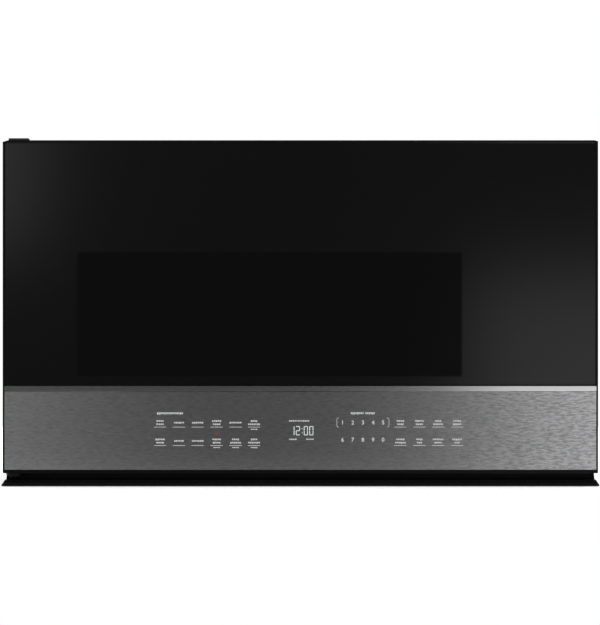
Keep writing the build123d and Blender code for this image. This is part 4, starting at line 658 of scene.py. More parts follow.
can, tree, shader, place = finish("drawn_aluminium", Metallic=1.0, Base_Color=linear(CAN), Roughness=0.4)
stretch = add(tree, "ShaderNodeMapping", {"Vector": place, "Scale": DRAW_LINES})
draw = add(tree, "ShaderNodeTexNoise", {"Vector": stretch.outputs[0], "Scale": 1.0, "Detail": 2.0})
rough = add(tree, "ShaderNodeMapRange", {"Value": draw.outputs[0], "To Min": 0.32, "To Max": 0.5})
drive(shader, Roughness=rough.outputs[0])
coat(can, "capacitor")

# ---- Circuit boards and touch sensor ----
# Glass epoxy laminate under green solder mask, with tinned pads showing through.
# The power and filter boards stand in the case. The control board and the sensor are in the door.

MASK_GREEN = "#1f5a36"
MASK_DARK = "#174429"
TIN = "#b9bab5"
TRACK = 0.004
PAD_SHARE = 0.16

board, tree, shader, place = finish("green_solder_mask_board", Roughness=0.35)
track = add(tree, "ShaderNodeTexBrick",
            {"Vector": place, "Color1": linear(MASK_GREEN), "Color2": linear(MASK_DARK),
             "Mortar": linear(MASK_DARK), "Scale": 1 / TRACK, "Mortar Size": 0.05})
pad = add(tree, "ShaderNodeTexVoronoi", {"Vector": place, "Scale": 1 / TRACK}, feature="F1")
near = add(tree, "ShaderNodeMath", {0: pad.outputs["Distance"], 1: PAD_SHARE}, operation="LESS_THAN")
shade = add(tree, "ShaderNodeMix", {"Factor": near.outputs[0], "A": track.outputs["Color"], "B": linear(TIN)},
            data_type="RGBA")
drive(shader, Base_Color=shade.outputs["Result"])
coat(board, "circuit_boards", "touch_sensor", "control_board")

# ---- Glass turntable tray ----
# Pressed soda lime glass, faintly green in its edge: a flat floor with fine rings beneath and a rim that
# curves up. A profile is turned round the tray's middle.

TRAY_MIDDLE = (-0.045, 0.011)
TRAY_RADIUS = 0.159
TRAY_LOW = 0.1086
TRAY_WALL = 0.005
TRAY_TALL = 0.015
TRAY_RINGS = 0.0002       # height of the fine rings
RING_APART = 0.004
TRAY_HUB = 0.02           # these three are shares of the radius: the plain middle, the flat floor, the rim
TRAY_FLAT = 0.94
TRAY_RIM = 0.06
RIM_LIFT = 0.0125
RIM_LIFT_INSIDE = 0.0078
TRAY_LIP = 0.0022         # radius of the rim's round lip
GLASS_TINT = "#eef6f2"
GLASS_WAVE = 0.02


def lathe(name, radius, height, middle, steps=128):
    """The profile's points turned round the Z axis through middle: each angle gives (r cos, r sin, z)."""
    turn = np.linspace(0, 2 * math.pi, steps, endpoint=False)
    x = middle[0] + np.outer(radius, np.cos(turn))
    y = middle[1] + np.outer(radius, np.sin(turn))
    z = np.repeat(np.asarray(height, float)[:, None], steps, 1)
    return shells(name, np.stack([x, y, z], -1))


lower = np.linspace(TRAY_HUB, TRAY_FLAT, 60)
ripple = TRAY_RINGS * (0.5 + 0.5 * np.cos(lower * TRAY_RADIUS / RING_APART * math.pi))
turn = np.linspace(0, math.pi / 2, 10)
outer_r = TRAY_RADIUS * TRAY_FLAT + TRAY_RADIUS * TRAY_RIM * np.sin(turn)
outer_z = TRAY_LOW + RIM_LIFT * (1 - np.cos(turn))
lip_turn = np.linspace(0, math.pi, 7)
lip_r = TRAY_RADIUS - TRAY_LIP + TRAY_LIP * np.cos(lip_turn)
lip_z = TRAY_LOW + TRAY_TALL - TRAY_LIP + TRAY_LIP * np.sin(lip_turn)
inner_r = TRAY_RADIUS * TRAY_FLAT + (TRAY_RADIUS * TRAY_RIM - 2 * TRAY_LIP) * np.sin(turn[::-1])
inner_z = TRAY_LOW + TRAY_WALL + RIM_LIFT_INSIDE * (1 - np.cos(turn[::-1]))
upper = lower[::-1]
profile_r = np.concatenate([[0], lower * TRAY_RADIUS, outer_r[1:], lip_r, inner_r,
                            upper[1:] * TRAY_RADIUS, [0]])
profile_z = np.concatenate([[TRAY_LOW], TRAY_LOW + ripple, outer_z[1:], lip_z, inner_z,
                            TRAY_LOW + TRAY_WALL + 0 * upper[1:], [TRAY_LOW + TRAY_WALL]])
tray = lathe("turntable_glass", profile_r, profile_z, TRAY_MIDDLE)
crease(tray, 50)
settle(tray, "turntable", "clear_glass", "turntable_tray")
glass, tree, shader, place = finish("pressed_soda_lime_glass", Base_Color=linear(GLASS_TINT), Roughness=0.03,
                                    IOR=1.5, Transmission_Weight=1.0)
wave = add(tree, "ShaderNodeTexNoise", {"Vector": place, "Scale": 1 / GLASS_WAVE, "Detail": 1.0})
bump = add(tree, "ShaderNodeBump", {"Height": wave.outputs[0], "Strength": 0.2, "Distance": 0.0005})
drive(shader, Normal=bump.outputs[0])
coat(glass, tray)

# ---- Grease filters ----
# Several layers of expanded aluminium in a folded frame. The lowest layer is drawn as real strands, each a
# ribbon that runs in zigzags and touches its neighbours, over the pack behind it.

ALUMINIUM = "#c6c8c9"
PACK_OPENING_SHADE = "#6f7274"
PACK_CELL = 0.003
MILL_DULL = "#b7b9bb"
MILL_BRIGHT = "#d3d5d6"
MILL_LINES = (20.0, 700.0, 700.0)     # to the metre: 50 mm long and 1.4 mm apart, coarser than real ones
MESH_THICK = 0.0045
RAIL = 0.008
CELL_LONG = 0.009
CELL_WIDE = 0.0048
STRAND = 0.0009
LAYER = 0.0007
SWING_STEEP = 2.4         # the swing is cut off, so that neighbours run together for a stretch at each turn
SWING_MARGIN = 2.2

filters, tree, shader, place = finish("expanded_aluminium_pack", Metallic=1.0, Roughness=0.36)
# Painted shade: the middles of the cells are painted darker, for the shaded openings through the pack.
pack = add(tree, "ShaderNodeTexVoronoi", {"Vector": place, "Scale": 1 / PACK_CELL},
           feature="DISTANCE_TO_EDGE")
opening_shade = add(tree, "ShaderNodeMapRange", {"Value": pack.outputs["Distance"], "From Max": 0.2})
shade = add(tree, "ShaderNodeMix",
            {"Factor": opening_shade.outputs[0], "A": linear(ALUMINIUM), "B": linear(PACK_OPENING_SHADE)},
            data_type="RGBA")
drive(shader, Base_Color=shade.outputs["Result"])
rails, tree, shader, place = finish("folded_mill_aluminium", Metallic=1.0, Roughness=0.32)
rolled = add(tree, "ShaderNodeMapping", {"Vector": place, "Scale": MILL_LINES})
streak = add(tree, "ShaderNodeTexNoise", {"Vector": rolled.outputs[0], "Scale": 1.0, "Detail": 2.0})
shade = add(tree, "ShaderNodeMix",
            {"Factor": streak.outputs[0], "A": linear(MILL_DULL), "B": linear(MILL_BRIGHT)},
            data_type="RGBA")
drive(shader, Base_Color=shade.outputs["Result"])
coat(rails, "grease_filter_left", "grease_filter_right")


def strands(name, x, y, z):
    """Strands side by side in Y. Along X a strand's middle swings half a cell to either side in turn, and
    its neighbour swings the other way, so they meet at every turn. Each ring is a flat rectangle."""
    across = np.arange(y[0] + CELL_WIDE / 2, y[1] - CELL_WIDE / 2, CELL_WIDE)
    along = np.arange(x[0], x[1] - SAME_POINT, CELL_LONG / 4)
    phase = np.abs(((along - x[0]) / CELL_LONG) % 1.0 * 2 - 1)
    swing = np.clip((phase - 0.5) * SWING_STEEP, -1, 1) * (CELL_WIDE / 2 - STRAND / SWING_MARGIN)
    flip = np.where(np.arange(across.size) % 2, 1.0, -1.0)
    middle = across[:, None] + flip[:, None] * swing[None, :]
    corner = np.array([(-1, 0), (1, 0), (1, 1), (-1, 1)])
    grid = np.empty((across.size, along.size, 4, 3))
    grid[..., 0] = along[None, :, None]
    grid[..., 1] = middle[..., None] + corner[:, 0] * STRAND / 2
    grid[..., 2] = z + corner[:, 1] * LAYER
    return shells(name, grid, smooth=False)


for side, node in (("left", "grease_filter_left"), ("right", "grease_filter_right")):
    low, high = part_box(node)
    lowest = (low[2] + high[2]) / 2 - MESH_THICK / 2 - LAYER
    web = strands(side + "_filter_web", (low[0] + RAIL, high[0] - RAIL), (low[1] + RAIL, high[1] - RAIL),
                  lowest)
    settle(web, side + "_filter", "filter_mesh")
    coat(filters, web)

# ---- Hood lamps and charcoal filter ----
# Frosted lenses with fine prisms, set in the base pan, and a pack of activated carbon pellets, drawn 4 mm
# across so that they show.

LENS_TINT = "#eceeed"
PRISM = 0.009             # the bands repeat about three times in this length
CARBON = "#141414"
CARBON_GREY = "#2c2c2c"
PELLET = 0.004

frosted, tree, shader, place = finish("prismatic_polycarbonate", Base_Color=linear(LENS_TINT), Roughness=0.35,
                                      Transmission_Weight=0.6)
prism = add(tree, "ShaderNodeTexWave", {"Vector": place, "Scale": 1 / PRISM}, bands_direction="X")
bump = add(tree, "ShaderNodeBump", {"Height": prism.outputs["Fac"], "Strength": 0.6, "Distance": 0.0006})
drive(shader, Normal=bump.outputs[0])
coat(frosted, "cooktop_lamps")

carbon, tree, shader, place = finish("activated_carbon_pellets", Roughness=0.8)
pellet = add(tree, "ShaderNodeTexVoronoi", {"Vector": place, "Scale": 1 / PELLET}, feature="F1")
tone = add(tree, "ShaderNodeSeparateColor", {0: pellet.outputs["Color"]}).outputs
shade = add(tree, "ShaderNodeMix", {"Factor": tone[0], "A": linear(CARBON), "B": linear(CARBON_GREY)},
            data_type="RGBA")
bump = add(tree, "ShaderNodeBump", {"Height": pellet.outputs["Distance"], "Strength": 0.8, "Distance": 0.002})
drive(shader, Base_Color=shade.outputs["Result"], Normal=bump.outputs[0])
coat(carbon, "charcoal_filter")

# ---- Switch buttons ----
# Moulded red plungers of the interlock switches.
# Each slides in the front of its own switch.

SWITCH_RED = "#b3271f"
RED_FLECK = 0.0015

red, tree, shader, place = finish("moulded_red_plastic", Base_Color=linear(SWITCH_RED), Roughness=0.35)
fleck = add(tree, "ShaderNodeTexNoise", {"Vector": place, "Scale": 1 / RED_FLECK, "Detail": 1.0})
rough = add(tree, "ShaderNodeMapRange", {"Value": fleck.outputs[0], "To Min": 0.3, "To Max": 0.42})
drive(shader, Roughness=rough.outputs[0])
coat(red, "switch_button_lower", "switch_button_middle", "switch_button_upper")

# ---- Door's inner panel and its punched screen ----
# Pressed steel, powder coated. Its middle is punched with small staggered holes that keep the microwaves
# in. They are drawn 5.5 mm apart, coarser than the real 2 mm, so that they show.

SCREEN_PITCH = 0.0055
SCREEN_HOLE = 0.00205
SCREEN_LOW = (-0.283, 0.1425)
SCREEN_HIGH = (0.204, 0.2965)
SCREEN_BACK = -0.1626
SCREEN_SHEET = 0.0006
SCREEN_CUT = (-0.170, -0.150)         # the block cut out of the pressing, in depth


def punched(name, low, high):
    """A sheet of six-sided cells in staggered rows. Each cell is four rings of six corners: the rim and the
    hole on one face, then the hole and the rim on the other, joined in turn as a closed loop."""
    across = np.arange(low[0], high[0] + SCREEN_PITCH, SCREEN_PITCH)
    up = np.arange(low[1], high[1] + SCREEN_PITCH, SCREEN_PITCH * math.sqrt(3) / 2)
    x, z = np.meshgrid(across, up)
    x = x + (np.arange(up.size) % 2)[:, None] * SCREEN_PITCH / 2
    middles = np.stack([x.ravel(), z.ravel()], 1)
    angle = np.arange(6) * math.pi / 3 + math.pi / 6
    corner = np.stack([np.cos(angle), np.sin(angle)], 1)
    radii = np.array([SCREEN_PITCH / math.sqrt(3), SCREEN_HOLE, SCREEN_HOLE, SCREEN_PITCH / math.sqrt(3)])
    depth = np.array([SCREEN_BACK, SCREEN_BACK, SCREEN_BACK - SCREEN_SHEET, SCREEN_BACK - SCREEN_SHEET])
    grid = np.empty((len(middles), 4, 6, 3))
    grid[..., 0] = middles[:, 0, None, None] + radii[:, None] * corner[:, 0]
    grid[..., 1] = depth[None, :, None]
    grid[..., 2] = middles[:, 1, None, None] + radii[:, None] * corner[:, 1]
    return shells(name, grid, caps=False, smooth=False)


inner = merged("inner_panel_pressing", "inner_panel")
carve(inner, [(x, y, z) for x in (SCREEN_LOW[0], SCREEN_HIGH[0]) for y in SCREEN_CUT
              for z in (SCREEN_LOW[1], SCREEN_HIGH[1])])
screen = punched("punched_screen", SCREEN_LOW, SCREEN_HIGH)
settle(inner, "door", "black_paint", "inner_panel")
settle(screen, "door", "black_paint")
coat(powder, inner, screen)

# ---- Inner window ----
# A clear polycarbonate sheet over the punched screen, slightly grey.
# It is cut from extruded sheet, whose faint haze softens what it mirrors.

WINDOW_GREY = "#8f9294"
HAZE = 0.05

sheet, tree, shader, place = finish("grey_polycarbonate_sheet", Base_Color=linear(WINDOW_GREY),
                                    Roughness=0.08, IOR=1.585, Transmission_Weight=0.9)
haze = add(tree, "ShaderNodeTexNoise", {"Vector": place, "Scale": 1 / HAZE, "Detail": 2.0})
rough = add(tree, "ShaderNodeMapRange", {"Value": haze.outputs[0], "To Min": 0.05, "To Max": 0.14})
drive(shader, Roughness=rough.outputs[0])
coat(sheet, "inner_window")

# ---- Door glass ----
# A toughened pane, printed black on its back outside the window. Its edges are ground round, so the outer
# few millimetres turn away from the lamps and stay dark. Below the top edge its shine is painted down as
# painted shade.

GLASS_HALF = 0.3772
GLASS_LOW = 0.1285
GLASS_HIGH = 0.4389
PANE_BACK = -0.2002
PANE_BACK_EDGE = 0.0004
PANE_CORNER = 0.003
PANE_ROLL = 0.0014
PANE_DROP = 0.0007
FACE_RIM = 0.001          # a flat ring round a face keeps the edge's shading off it
WINDOW_LEFT = -0.2845
WINDOW_RIGHT = 0.2060
WINDOW_LOW = 0.1401
WINDOW_TOP = 0.2985
SOFT_SIDE = 0.009
SOFT_END = 0.004
PRINT_BLACK = "#0b0b0b"
WINDOW_BLACK = "#0d0d0d"
WINDOW_SHINE = "#5c5c5c"
SHADED_TOP_SHINE = 0.25       # painted shade: the shine left over a stretch below the top
SHADED_TOP_FROM = 0.0026
SHADED_TOP_FULL = 0.0014


def outline(x, z, inset, corner, steps=6):
    """A rounded rectangle in the door's plane, as points: each corner is a quarter circle of the corner's
    radius less the inset, round a middle that stands that radius in from both sides."""
    sweep = np.linspace(0, math.pi / 2, steps)
    reach = max(corner, inset)
    radius = max(corner - inset, 1e-5)
    points = []
    for start, middle in ((0, (x[1] - reach, z[1] - reach)), (1, (x[0] + reach, z[1] - reach)),
                          (2, (x[0] + reach, z[0] + reach)), (3, (x[1] - reach, z[0] + reach))):
        angle = sweep + start * math.pi / 2
        points.append(np.stack([middle[0] + radius * np.cos(angle), middle[1] + radius * np.sin(angle)], 1))
    return np.concatenate(points)


def plate(name, x, z, corner, rings):
    """A closed plate: each ring is the outline set in by so much, at its own Y, from back to front."""
    grid = []
    for inset, y in rings:
        flat = outline(x, z, inset, corner)
        grid.append(np.stack([flat[:, 0], np.full(len(flat), y), flat[:, 1]], 1))
    return shells(name, grid)


roll = [(PANE_ROLL * t, DOOR_FACE_Y + PANE_DROP * (1 - t) ** 2) for t in np.linspace(0, 1, 9)]
pane = plate("door_pane", (-GLASS_HALF, GLASS_HALF), (GLASS_LOW, GLASS_HIGH), PANE_CORNER,
             [(PANE_BACK_EDGE, PANE_BACK), (0.0, PANE_BACK - PANE_BACK_EDGE)] + roll
             + [(PANE_ROLL + FACE_RIM, DOOR_FACE_Y)])
crease(pane, 40)
settle(pane, "door", "black_glass", "door_glass")
black_glass, tree, shader, place = finish("black_printed_toughened_glass", IOR=1.5, Roughness=0.11)
where = add(tree, "ShaderNodeSeparateXYZ", {0: place}).outputs
soft = []
for out, low, high in ((where["X"], WINDOW_LEFT - SOFT_SIDE / 2, WINDOW_LEFT + SOFT_SIDE / 2),
                       (where["X"], WINDOW_RIGHT + SOFT_END / 2, WINDOW_RIGHT - SOFT_END / 2),
                       (where["Z"], WINDOW_LOW - SOFT_END / 2, WINDOW_LOW + SOFT_END / 2),
                       (where["Z"], WINDOW_TOP + SOFT_END / 2, WINDOW_TOP - SOFT_END / 2)):
    edge = add(tree, "ShaderNodeMapRange", {"Value": out, "From Min": low, "From Max": high},
               interpolation_type="SMOOTHSTEP")
    soft.append(edge.outputs[0])
inside = soft[0]
for edge in soft[1:]:
    inside = add(tree, "ShaderNodeMath", {0: inside, 1: edge}, operation="MULTIPLY").outputs[0]
shade = add(tree, "ShaderNodeMix", {"Factor": inside, "A": linear(PRINT_BLACK), "B": linear(WINDOW_BLACK)},
            data_type="RGBA")
shine = add(tree, "ShaderNodeMix", {"Factor": inside, "A": (1.0, 1.0, 1.0, 1.0), "B": linear(WINDOW_SHINE)},
            data_type="RGBA")
drive(shader, Base_Color=shade.outputs["Result"])
# Painted shade: the shine is turned down over a stretch just below the pane's top edge.
shaded_top = add(tree, "ShaderNodeMapRange",
             {"Value": where["Z"], "From Min": GLASS_HIGH - SHADED_TOP_FROM,
              "From Max": GLASS_HIGH - SHADED_TOP_FULL, "To Min": 1.0, "To Max": SHADED_TOP_SHINE})
shine = add(tree, "ShaderNodeMix", {"Factor": shaded_top.outputs[0], "A": (0.0, 0.0, 0.0, 1.0),
                                    "B": shine.outputs["Result"]}, data_type="RGBA")
drive(shader, Specular_Tint=shine.outputs["Result"])
coat(black_glass, pane)

# ---- Trim strip ----
# A bright rolled stainless strip between the glass and the panel, a little proud, with a bevel along both
# edges. Its section is carried from end to end.

STRIP_LOW = 0.1210
STRIP_HIGH = 0.1281
STRIP_FRONT = -0.2050
STRIP_BEVEL = 0.0004
STRIP_END = 0.0004
BRIGHT = "#efefef"
ROLLED_LINES = (12.0, 900.0, 900.0)   # to the metre: 83 mm long and 1.1 mm apart, coarser than real ones

section_z = np.array([STRIP_LOW, STRIP_LOW + STRIP_BEVEL, STRIP_HIGH - STRIP_BEVEL, STRIP_HIGH,
                      STRIP_HIGH, STRIP_LOW])
section_y = np.array([DOOR_FACE_Y, STRIP_FRONT, STRIP_FRONT, DOOR_FACE_Y, PANE_BACK, PANE_BACK])
ends = np.array([-GLASS_HALF, -GLASS_HALF + STRIP_END, GLASS_HALF - STRIP_END, GLASS_HALF])
grid = np.empty((ends.size, section_z.size, 3))
grid[..., 0] = ends[:, None]
grid[..., 1] = section_y[None, :]
grid[..., 2] = section_z[None, :]
strip = shells("front_trim", grid)
crease(strip, 20)
settle(strip, "door", "bright_steel", "trim_strip")
bright, tree, shader, place = finish("bright_rolled_stainless", Metallic=1.0, Base_Color=linear(BRIGHT),
                                     Roughness=0.12)
rolled = add(tree, "ShaderNodeMapping", {"Vector": place, "Scale": ROLLED_LINES})
streak = add(tree, "ShaderNodeTexNoise", {"Vector": rolled.outputs[0], "Scale": 1.0, "Detail": 2.0})
rough = add(tree, "ShaderNodeMapRange", {"Value": streak.outputs[0], "To Min": 0.09, "To Max": 0.15})
drive(shader, Roughness=rough.outputs[0])
coat(bright, strip)

# ---- Control panel ----
# Dark tinted stainless sheet, brushed from side to side. The brush lines are drawn about 9 mm long and
# 1.6 mm apart, coarser than the real 0.1 mm, so that they show.

PANEL_LOW = 0.0211
PANEL_HIGH = 0.1206
PANEL_BACK = -0.2027
PANEL_EDGE = 0.0002
PANEL_CORNER = 0.0008
TINTED = "#767677"
TINTED_LIGHT = "#9c9c9d"
BRUSH_LONG = 0.0085
BRUSH_APART = 0.0016
GROOVE = 0.00002
PAINTED_HIGHLIGHT_GAIN = 3.1           # painted highlight: brush lines painted in stronger contrast towards the right end
PAINTED_HIGHLIGHT_FROM = 0.16
PAINTED_HIGHLIGHT_FULL = 0.34
TONE_SPREAD = 0.6         # the noise's range that reaches from one tint to the other

panel = plate("brushed_panel", (-GLASS_HALF, GLASS_HALF), (PANEL_LOW, PANEL_HIGH), PANEL_CORNER,
              [(0.0, PANEL_BACK), (0.0, DOOR_FACE_Y + PANEL_EDGE), (PANEL_EDGE, DOOR_FACE_Y),
               (PANEL_EDGE + FACE_RIM, DOOR_FACE_Y)])
crease(panel, 15)
settle(panel, "door", "brushed_panel", "control_fascia")
brushed, tree, shader, place = finish("side_brushed_dark_stainless", Metallic=1.0, Roughness=0.28,
                                      Anisotropic=1.0)
stretch = add(tree, "ShaderNodeMapping", {"Vector": place, "Scale": (1 / BRUSH_LONG, 1.0, 1 / BRUSH_APART)})
brush = add(tree, "ShaderNodeTexNoise", {"Vector": stretch.outputs[0], "Scale": 1.0, "Detail": 4.0,
                                         "Roughness": 0.65, "Distortion": 0.3})
across = add(tree, "ShaderNodeSeparateXYZ", {0: place}).outputs["X"]
# Painted highlight: the brush lines' tone is painted in stronger contrast towards the panel's right end.
highlight_gain = add(tree, "ShaderNodeMapRange", {"Value": across, "From Min": PAINTED_HIGHLIGHT_FROM, "From Max": PAINTED_HIGHLIGHT_FULL,
                                        "To Min": 1 / TONE_SPREAD, "To Max": PAINTED_HIGHLIGHT_GAIN / TONE_SPREAD})
tone = add(tree, "ShaderNodeMath", {0: brush.outputs[0], 1: 0.5}, operation="SUBTRACT")
tone = add(tree, "ShaderNodeMath", {0: tone.outputs[0], 1: highlight_gain.outputs[0], 2: 0.5}, operation="MULTIPLY_ADD",
           use_clamp=True)
groove = add(tree, "ShaderNodeBump", {"Height": brush.outputs[0], "Strength": 1.0, "Distance": GROOVE})
drive(shader, Normal=groove.outputs[0])
shade = add(tree, "ShaderNodeMix",
            {"Factor": tone.outputs[0], "A": linear(TINTED), "B": linear(TINTED_LIGHT)},
            data_type="RGBA")
upright = add(tree, "ShaderNodeVectorTransform", {"Vector": (0.0, 0.0, 1.0)}, vector_type="VECTOR",
              convert_from="OBJECT", convert_to="WORLD")
drive(shader, Base_Color=shade.outputs["Result"], Tangent=upright.outputs[0])
coat(brushed, panel)

# ---- Printed marks on the control panel ----
# Screen printed pale grey ink. The keys carry short rows of plain blocks in the place of words; only the
# number keys and the clock carry figures.

MARK_SCALE = 0.0012757
MARK_X = 300.3
MARK_Z = 486.3
INK = "#c9cacb"
INK_WEAR = 0.001
INK_PROUD = 0.00005
INK_DEPTH = 0.00004
LEFT_KEYS = (160.1, 179.0, 197.7, 216.6, 235.5, 254.0)
RIGHT_KEYS = (400.2, 419.2, 437.9, 456.8)
KEY_LINES = ((427.1, 421.1, 424.4, 422.8), (445.5, 439.5, 442.8, 441.0))
KEY_HALF = 6.2
WORD_TALL = 1.8
LINE_HALF = 0.26
BLOCK_EACH = 1.7          # a word has about one block to this much of its width
BLOCK_WIDTHS = (0.7, 1.25)
BLOCK_GAP = 0.42
BLOCK_RAGGED = 0.25
SECOND_SEED = 100
# middle, level, width, height and seed of each heading over a group of keys, and over and under the clock
HEADINGS = ((162.9, 413.5, 11.6, 2.3, 5), (176.2, 413.5, 13.6, 2.3, 15), (357.0, 413.4, 12.8, 2.3, 6),
            (369.9, 413.4, 9.4, 2.3, 16), (299.0, 421.0, 20.0, 1.6, 7), (292.8, 439.4, 7.5, 1.5, 8),
            (309.8, 439.4, 7.5, 1.5, 9))
NOTES = ((254.0, 429.4), (216.6, 447.6), (235.5, 447.6), (254.0, 447.6))
NOTE_WIDE = 6.5
NOTE_TALL = 1.2
# the square brackets round the number keys: where each stands and which way it turns in
BRACKETS = ((336.5, 1), (389.0, -1))
BRACKET_UPRIGHT = (418.6, 426.5)
BRACKET_FEET = ((417.9, 418.4), (426.7, 427.2))
BRACKET_BOLD = 0.45
BRACKET_FOOT = (0.4, 2.2)
# widths of each key's one or two words, row by row; 0 where there is only one
KEY_WORDS = (((7.2, 7.4), (9.8, 0), (11.0, 0), (9.0, 7.5), (12.0, 0), (6.6, 11.8),
              (7.5, 6.5), (8.6, 7.2), (6.2, 9.6), (7.8, 8.4)),
             ((9.2, 7.4), (9.6, 0), (11.6, 0), (8.4, 7.4), (7.0, 10.6), (6.2, 11.8),
              (8.0, 10.4), (6.2, 5.0), (10.4, 7.2), (9.6, 4.8)))


def marks(name, boxes):
    """Thin closed plates on the panel's face, one for each (left, right, top, bottom) of the drawing."""
    left, right, top, bottom = (np.array(side) for side in zip(*boxes))
    x0, x1 = (left - MARK_X) * MARK_SCALE, (right - MARK_X) * MARK_SCALE
    z0, z1 = (MARK_Z - bottom) * MARK_SCALE, (MARK_Z - top) * MARK_SCALE
    back, front = DOOR_FACE_Y + INK_DEPTH, DOOR_FACE_Y - INK_PROUD
    rings = []
    for y in (back, front):
        rings.append(np.stack([np.stack([x0, x1, x1, x0], 1), np.full((x0.size, 4), y),
                               np.stack([z0, z0, z1, z1], 1)], -1))
    return shells(name, np.stack(rings, 1), smooth=False)


def word(middle, level, width, tall, seed):
    """A row of plain blocks that stands for a word: widths drawn at random, spread over the given width."""
    chance = np.random.default_rng(seed)
    count = max(2, int(round(width / BLOCK_EACH)))
    widths = chance.uniform(*BLOCK_WIDTHS, count)
    widths *= (width - BLOCK_GAP * (count - 1)) / widths.sum()
    start = middle - width / 2 + np.concatenate([[0], np.cumsum(widths + BLOCK_GAP)[:-1]])
    low = level + tall / 2 - chance.uniform(0, BLOCK_RAGGED, count) * tall
    return [(a, a + w, level - tall / 2, b) for a, w, b in zip(start, widths, low)]


boxes = []
for row, (under, upper_line, lower_line, single) in enumerate(KEY_LINES):
    for column, middle in enumerate(LEFT_KEYS + RIGHT_KEYS):
        boxes.append((middle - KEY_HALF, middle + KEY_HALF, under - LINE_HALF, under + LINE_HALF))
        wide, second = KEY_WORDS[row][column]
        seed = 20 * row + column
        if second:
            boxes += word(middle, upper_line, wide, WORD_TALL, seed)
            boxes += word(middle, lower_line, second, WORD_TALL, seed + SECOND_SEED)
        else:
            boxes += word(middle, single, wide, WORD_TALL, seed)
for heading in HEADINGS:
    boxes += word(*heading)
for middle, level in NOTES:
    boxes += word(middle, level, NOTE_WIDE, NOTE_TALL, int(middle + level))
for corner, inward in BRACKETS:
    boxes.append((*sorted((corner, corner + inward * BRACKET_BOLD)), *BRACKET_UPRIGHT))
    foot = sorted(corner + inward * reach for reach in BRACKET_FOOT)
    boxes += [(*foot, *level) for level in BRACKET_FEET]
ink, tree, shader, place = finish("screen_printed_pale_ink", Base_Color=linear(INK), Roughness=0.55)
wear = add(tree, "ShaderNodeTexNoise", {"Vector": place, "Scale": 1 / INK_WEAR, "Detail": 1.0})
rough = add(tree, "ShaderNodeMapRange", {"Value": wear.outputs[0], "To Min": 0.5, "To Max": 0.62})
drive(shader, Roughness=rough.outputs[0])
printed = marks("key_marks", boxes)
settle(printed, "door", "white_plastic")
coat(ink, printed)

STOP_BAR = (214.6, 218.6, 433.6, 434.4)

red_mark = marks("stop_mark", [STOP_BAR])
settle(red_mark, "door", "red_plastic")
coat(red, red_mark)

DIGIT_TALL = 0.0052
FIGURE_BOLD = 0.00018
FIGURE_SHARE = 0.729      # a figure's height as a share of the letters' size
FIGURE_ROWS = (("12345", 422.5), ("67890", 439.7))
FIGURE_COLUMNS = (342.4, 352.6, 362.7, 372.9, 382.9)


def figures(name, places, tall):
    """Plain figures as thin closed plates: each is set as text, made a mesh, and moved to its own place."""
    points, faces = [], []
    for text, across, level in places:
        curve = bpy.data.curves.new(name, "FONT")
        curve.body = text
        curve.size = tall / FIGURE_SHARE
        curve.offset = FIGURE_BOLD
        curve.extrude = (INK_PROUD + INK_DEPTH) / 2
        curve.align_x = "CENTER"
        curve.align_y = "CENTER"
        curve.resolution_u = 4
        stand = bpy.data.objects.new(name, curve)
        bpy.context.scene.collection.objects.link(stand)
        shape = bpy.data.meshes.new_from_object(stand.evaluated_get(bpy.context.evaluated_depsgraph_get()))
        flat = np.empty(len(shape.vertices) * 3)
        shape.vertices.foreach_get("co", flat)
        flat = flat.reshape(-1, 3)
        flat[:, 1] -= (flat[:, 1].min() + flat[:, 1].max()) / 2
        flat[:, 0] -= (flat[:, 0].min() + flat[:, 0].max()) / 2
        place = np.stack([flat[:, 0] + (across - MARK_X) * MARK_SCALE,
                          DOOR_FACE_Y - (INK_PROUD - INK_DEPTH) / 2 - flat[:, 2],
                          flat[:, 1] + (MARK_Z - level) * MARK_SCALE], 1)
        base = sum(len(block) for block in points)
        points.append(place)
        faces += [[base + i for i in face.vertices] for face in shape.polygons]
        bpy.data.objects.remove(stand)
        bpy.data.meshes.remove(shape)
    return mesh_piece(name, np.concatenate(points), faces)


keys = [(key, across, level) for row, level in FIGURE_ROWS for key, across in zip(row, FIGURE_COLUMNS)]
numbers = figures("number_keys", keys, DIGIT_TALL)
settle(numbers, "door", "white_plastic")
coat(ink, numbers)

# ---- Clock ----
# A vacuum fluorescent display behind a clear port: seven bars to a figure, glowing faintly.
# Its grid wires show as fine lines in the glow.

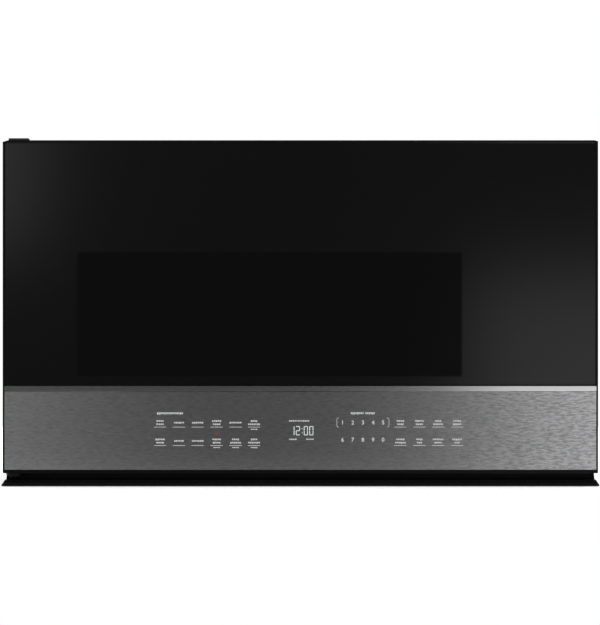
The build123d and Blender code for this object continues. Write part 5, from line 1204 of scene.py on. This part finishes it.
CLOCK_LEFT = 293.6
CLOCK_RIGHT = 313.3
CLOCK_TOP = 426.1
CLOCK_BOTTOM = 435.3
BAR = 0.8
BAR_END = 0.2             # how far a bar stops short of its neighbours
BAR_HEAD = 0.3            # and an upright of the clock's top or bottom
CLOCK_FIGURE = 4.1        # width of a figure
FIRST_OUT = 3.3           # the next four place the other figures and the colon from the clock's two ends
SECOND_IN = 2.2
THIRD_GAP = 1.4
COLON_GAP = 3.0
COLON_HALF = 0.4
COLON_STEPS = (-2.0, 2.0)
CLOCK_GLOW = "#d3d8d8"
GRID_WIRE = 0.004         # the bands repeat about three times in this length
LIT = {"1": "bc", "2": "abged", "0": "abcdef"}


def bars(text):
    """The lit bars of each figure, spread over the clock's width: a, g and d lie at the top, middle and
    bottom, f and e stand at the left, b and c at the right. A colon is two dots."""
    wide = CLOCK_FIGURE
    starts = {0: CLOCK_LEFT - FIRST_OUT, 1: CLOCK_LEFT + SECOND_IN,
              3: CLOCK_RIGHT - 2 * wide - THIRD_GAP, 4: CLOCK_RIGHT - wide}
    middle = (CLOCK_TOP + CLOCK_BOTTOM) / 2
    boxes = []
    for index, figure in enumerate(text):
        if figure == ":":
            dot = CLOCK_RIGHT - 2 * wide - COLON_GAP
            boxes += [(dot - COLON_HALF, dot + COLON_HALF, middle + step - COLON_HALF,
                       middle + step + COLON_HALF) for step in COLON_STEPS]
            continue
        left = starts[index]
        right = left + wide
        level = (left + BAR_END, right - BAR_END)
        upper = (CLOCK_TOP + BAR_HEAD, middle - BAR_END)
        lower = (middle + BAR_END, CLOCK_BOTTOM - BAR_HEAD)
        spans = {"a": (*level, CLOCK_TOP, CLOCK_TOP + BAR),
                 "g": (*level, middle - BAR / 2, middle + BAR / 2),
                 "d": (*level, CLOCK_BOTTOM - BAR, CLOCK_BOTTOM),
                 "f": (left, left + BAR, *upper), "b": (right - BAR, right, *upper),
                 "e": (left, left + BAR, *lower), "c": (right - BAR, right, *lower)}
        boxes += [spans[bar] for bar in LIT[figure]]
    return boxes


clock = marks("clock_figures", bars("12:00"))
settle(clock, "door", "lamp_lens")
phosphor, tree, shader, place = finish("display_phosphor", Base_Color=linear(CLOCK_GLOW), Roughness=0.5)
grid_wires = add(tree, "ShaderNodeTexWave", {"Vector": place, "Scale": 1 / GRID_WIRE}, bands_direction="X")
level = add(tree, "ShaderNodeMapRange", {"Value": grid_wires.outputs["Fac"], "To Min": 0.1, "To Max": 0.2})
drive(shader, Emission_Strength=level.outputs[0])
shader.inputs["Emission Color"].default_value = linear(CLOCK_GLOW)
coat(phosphor, clock)
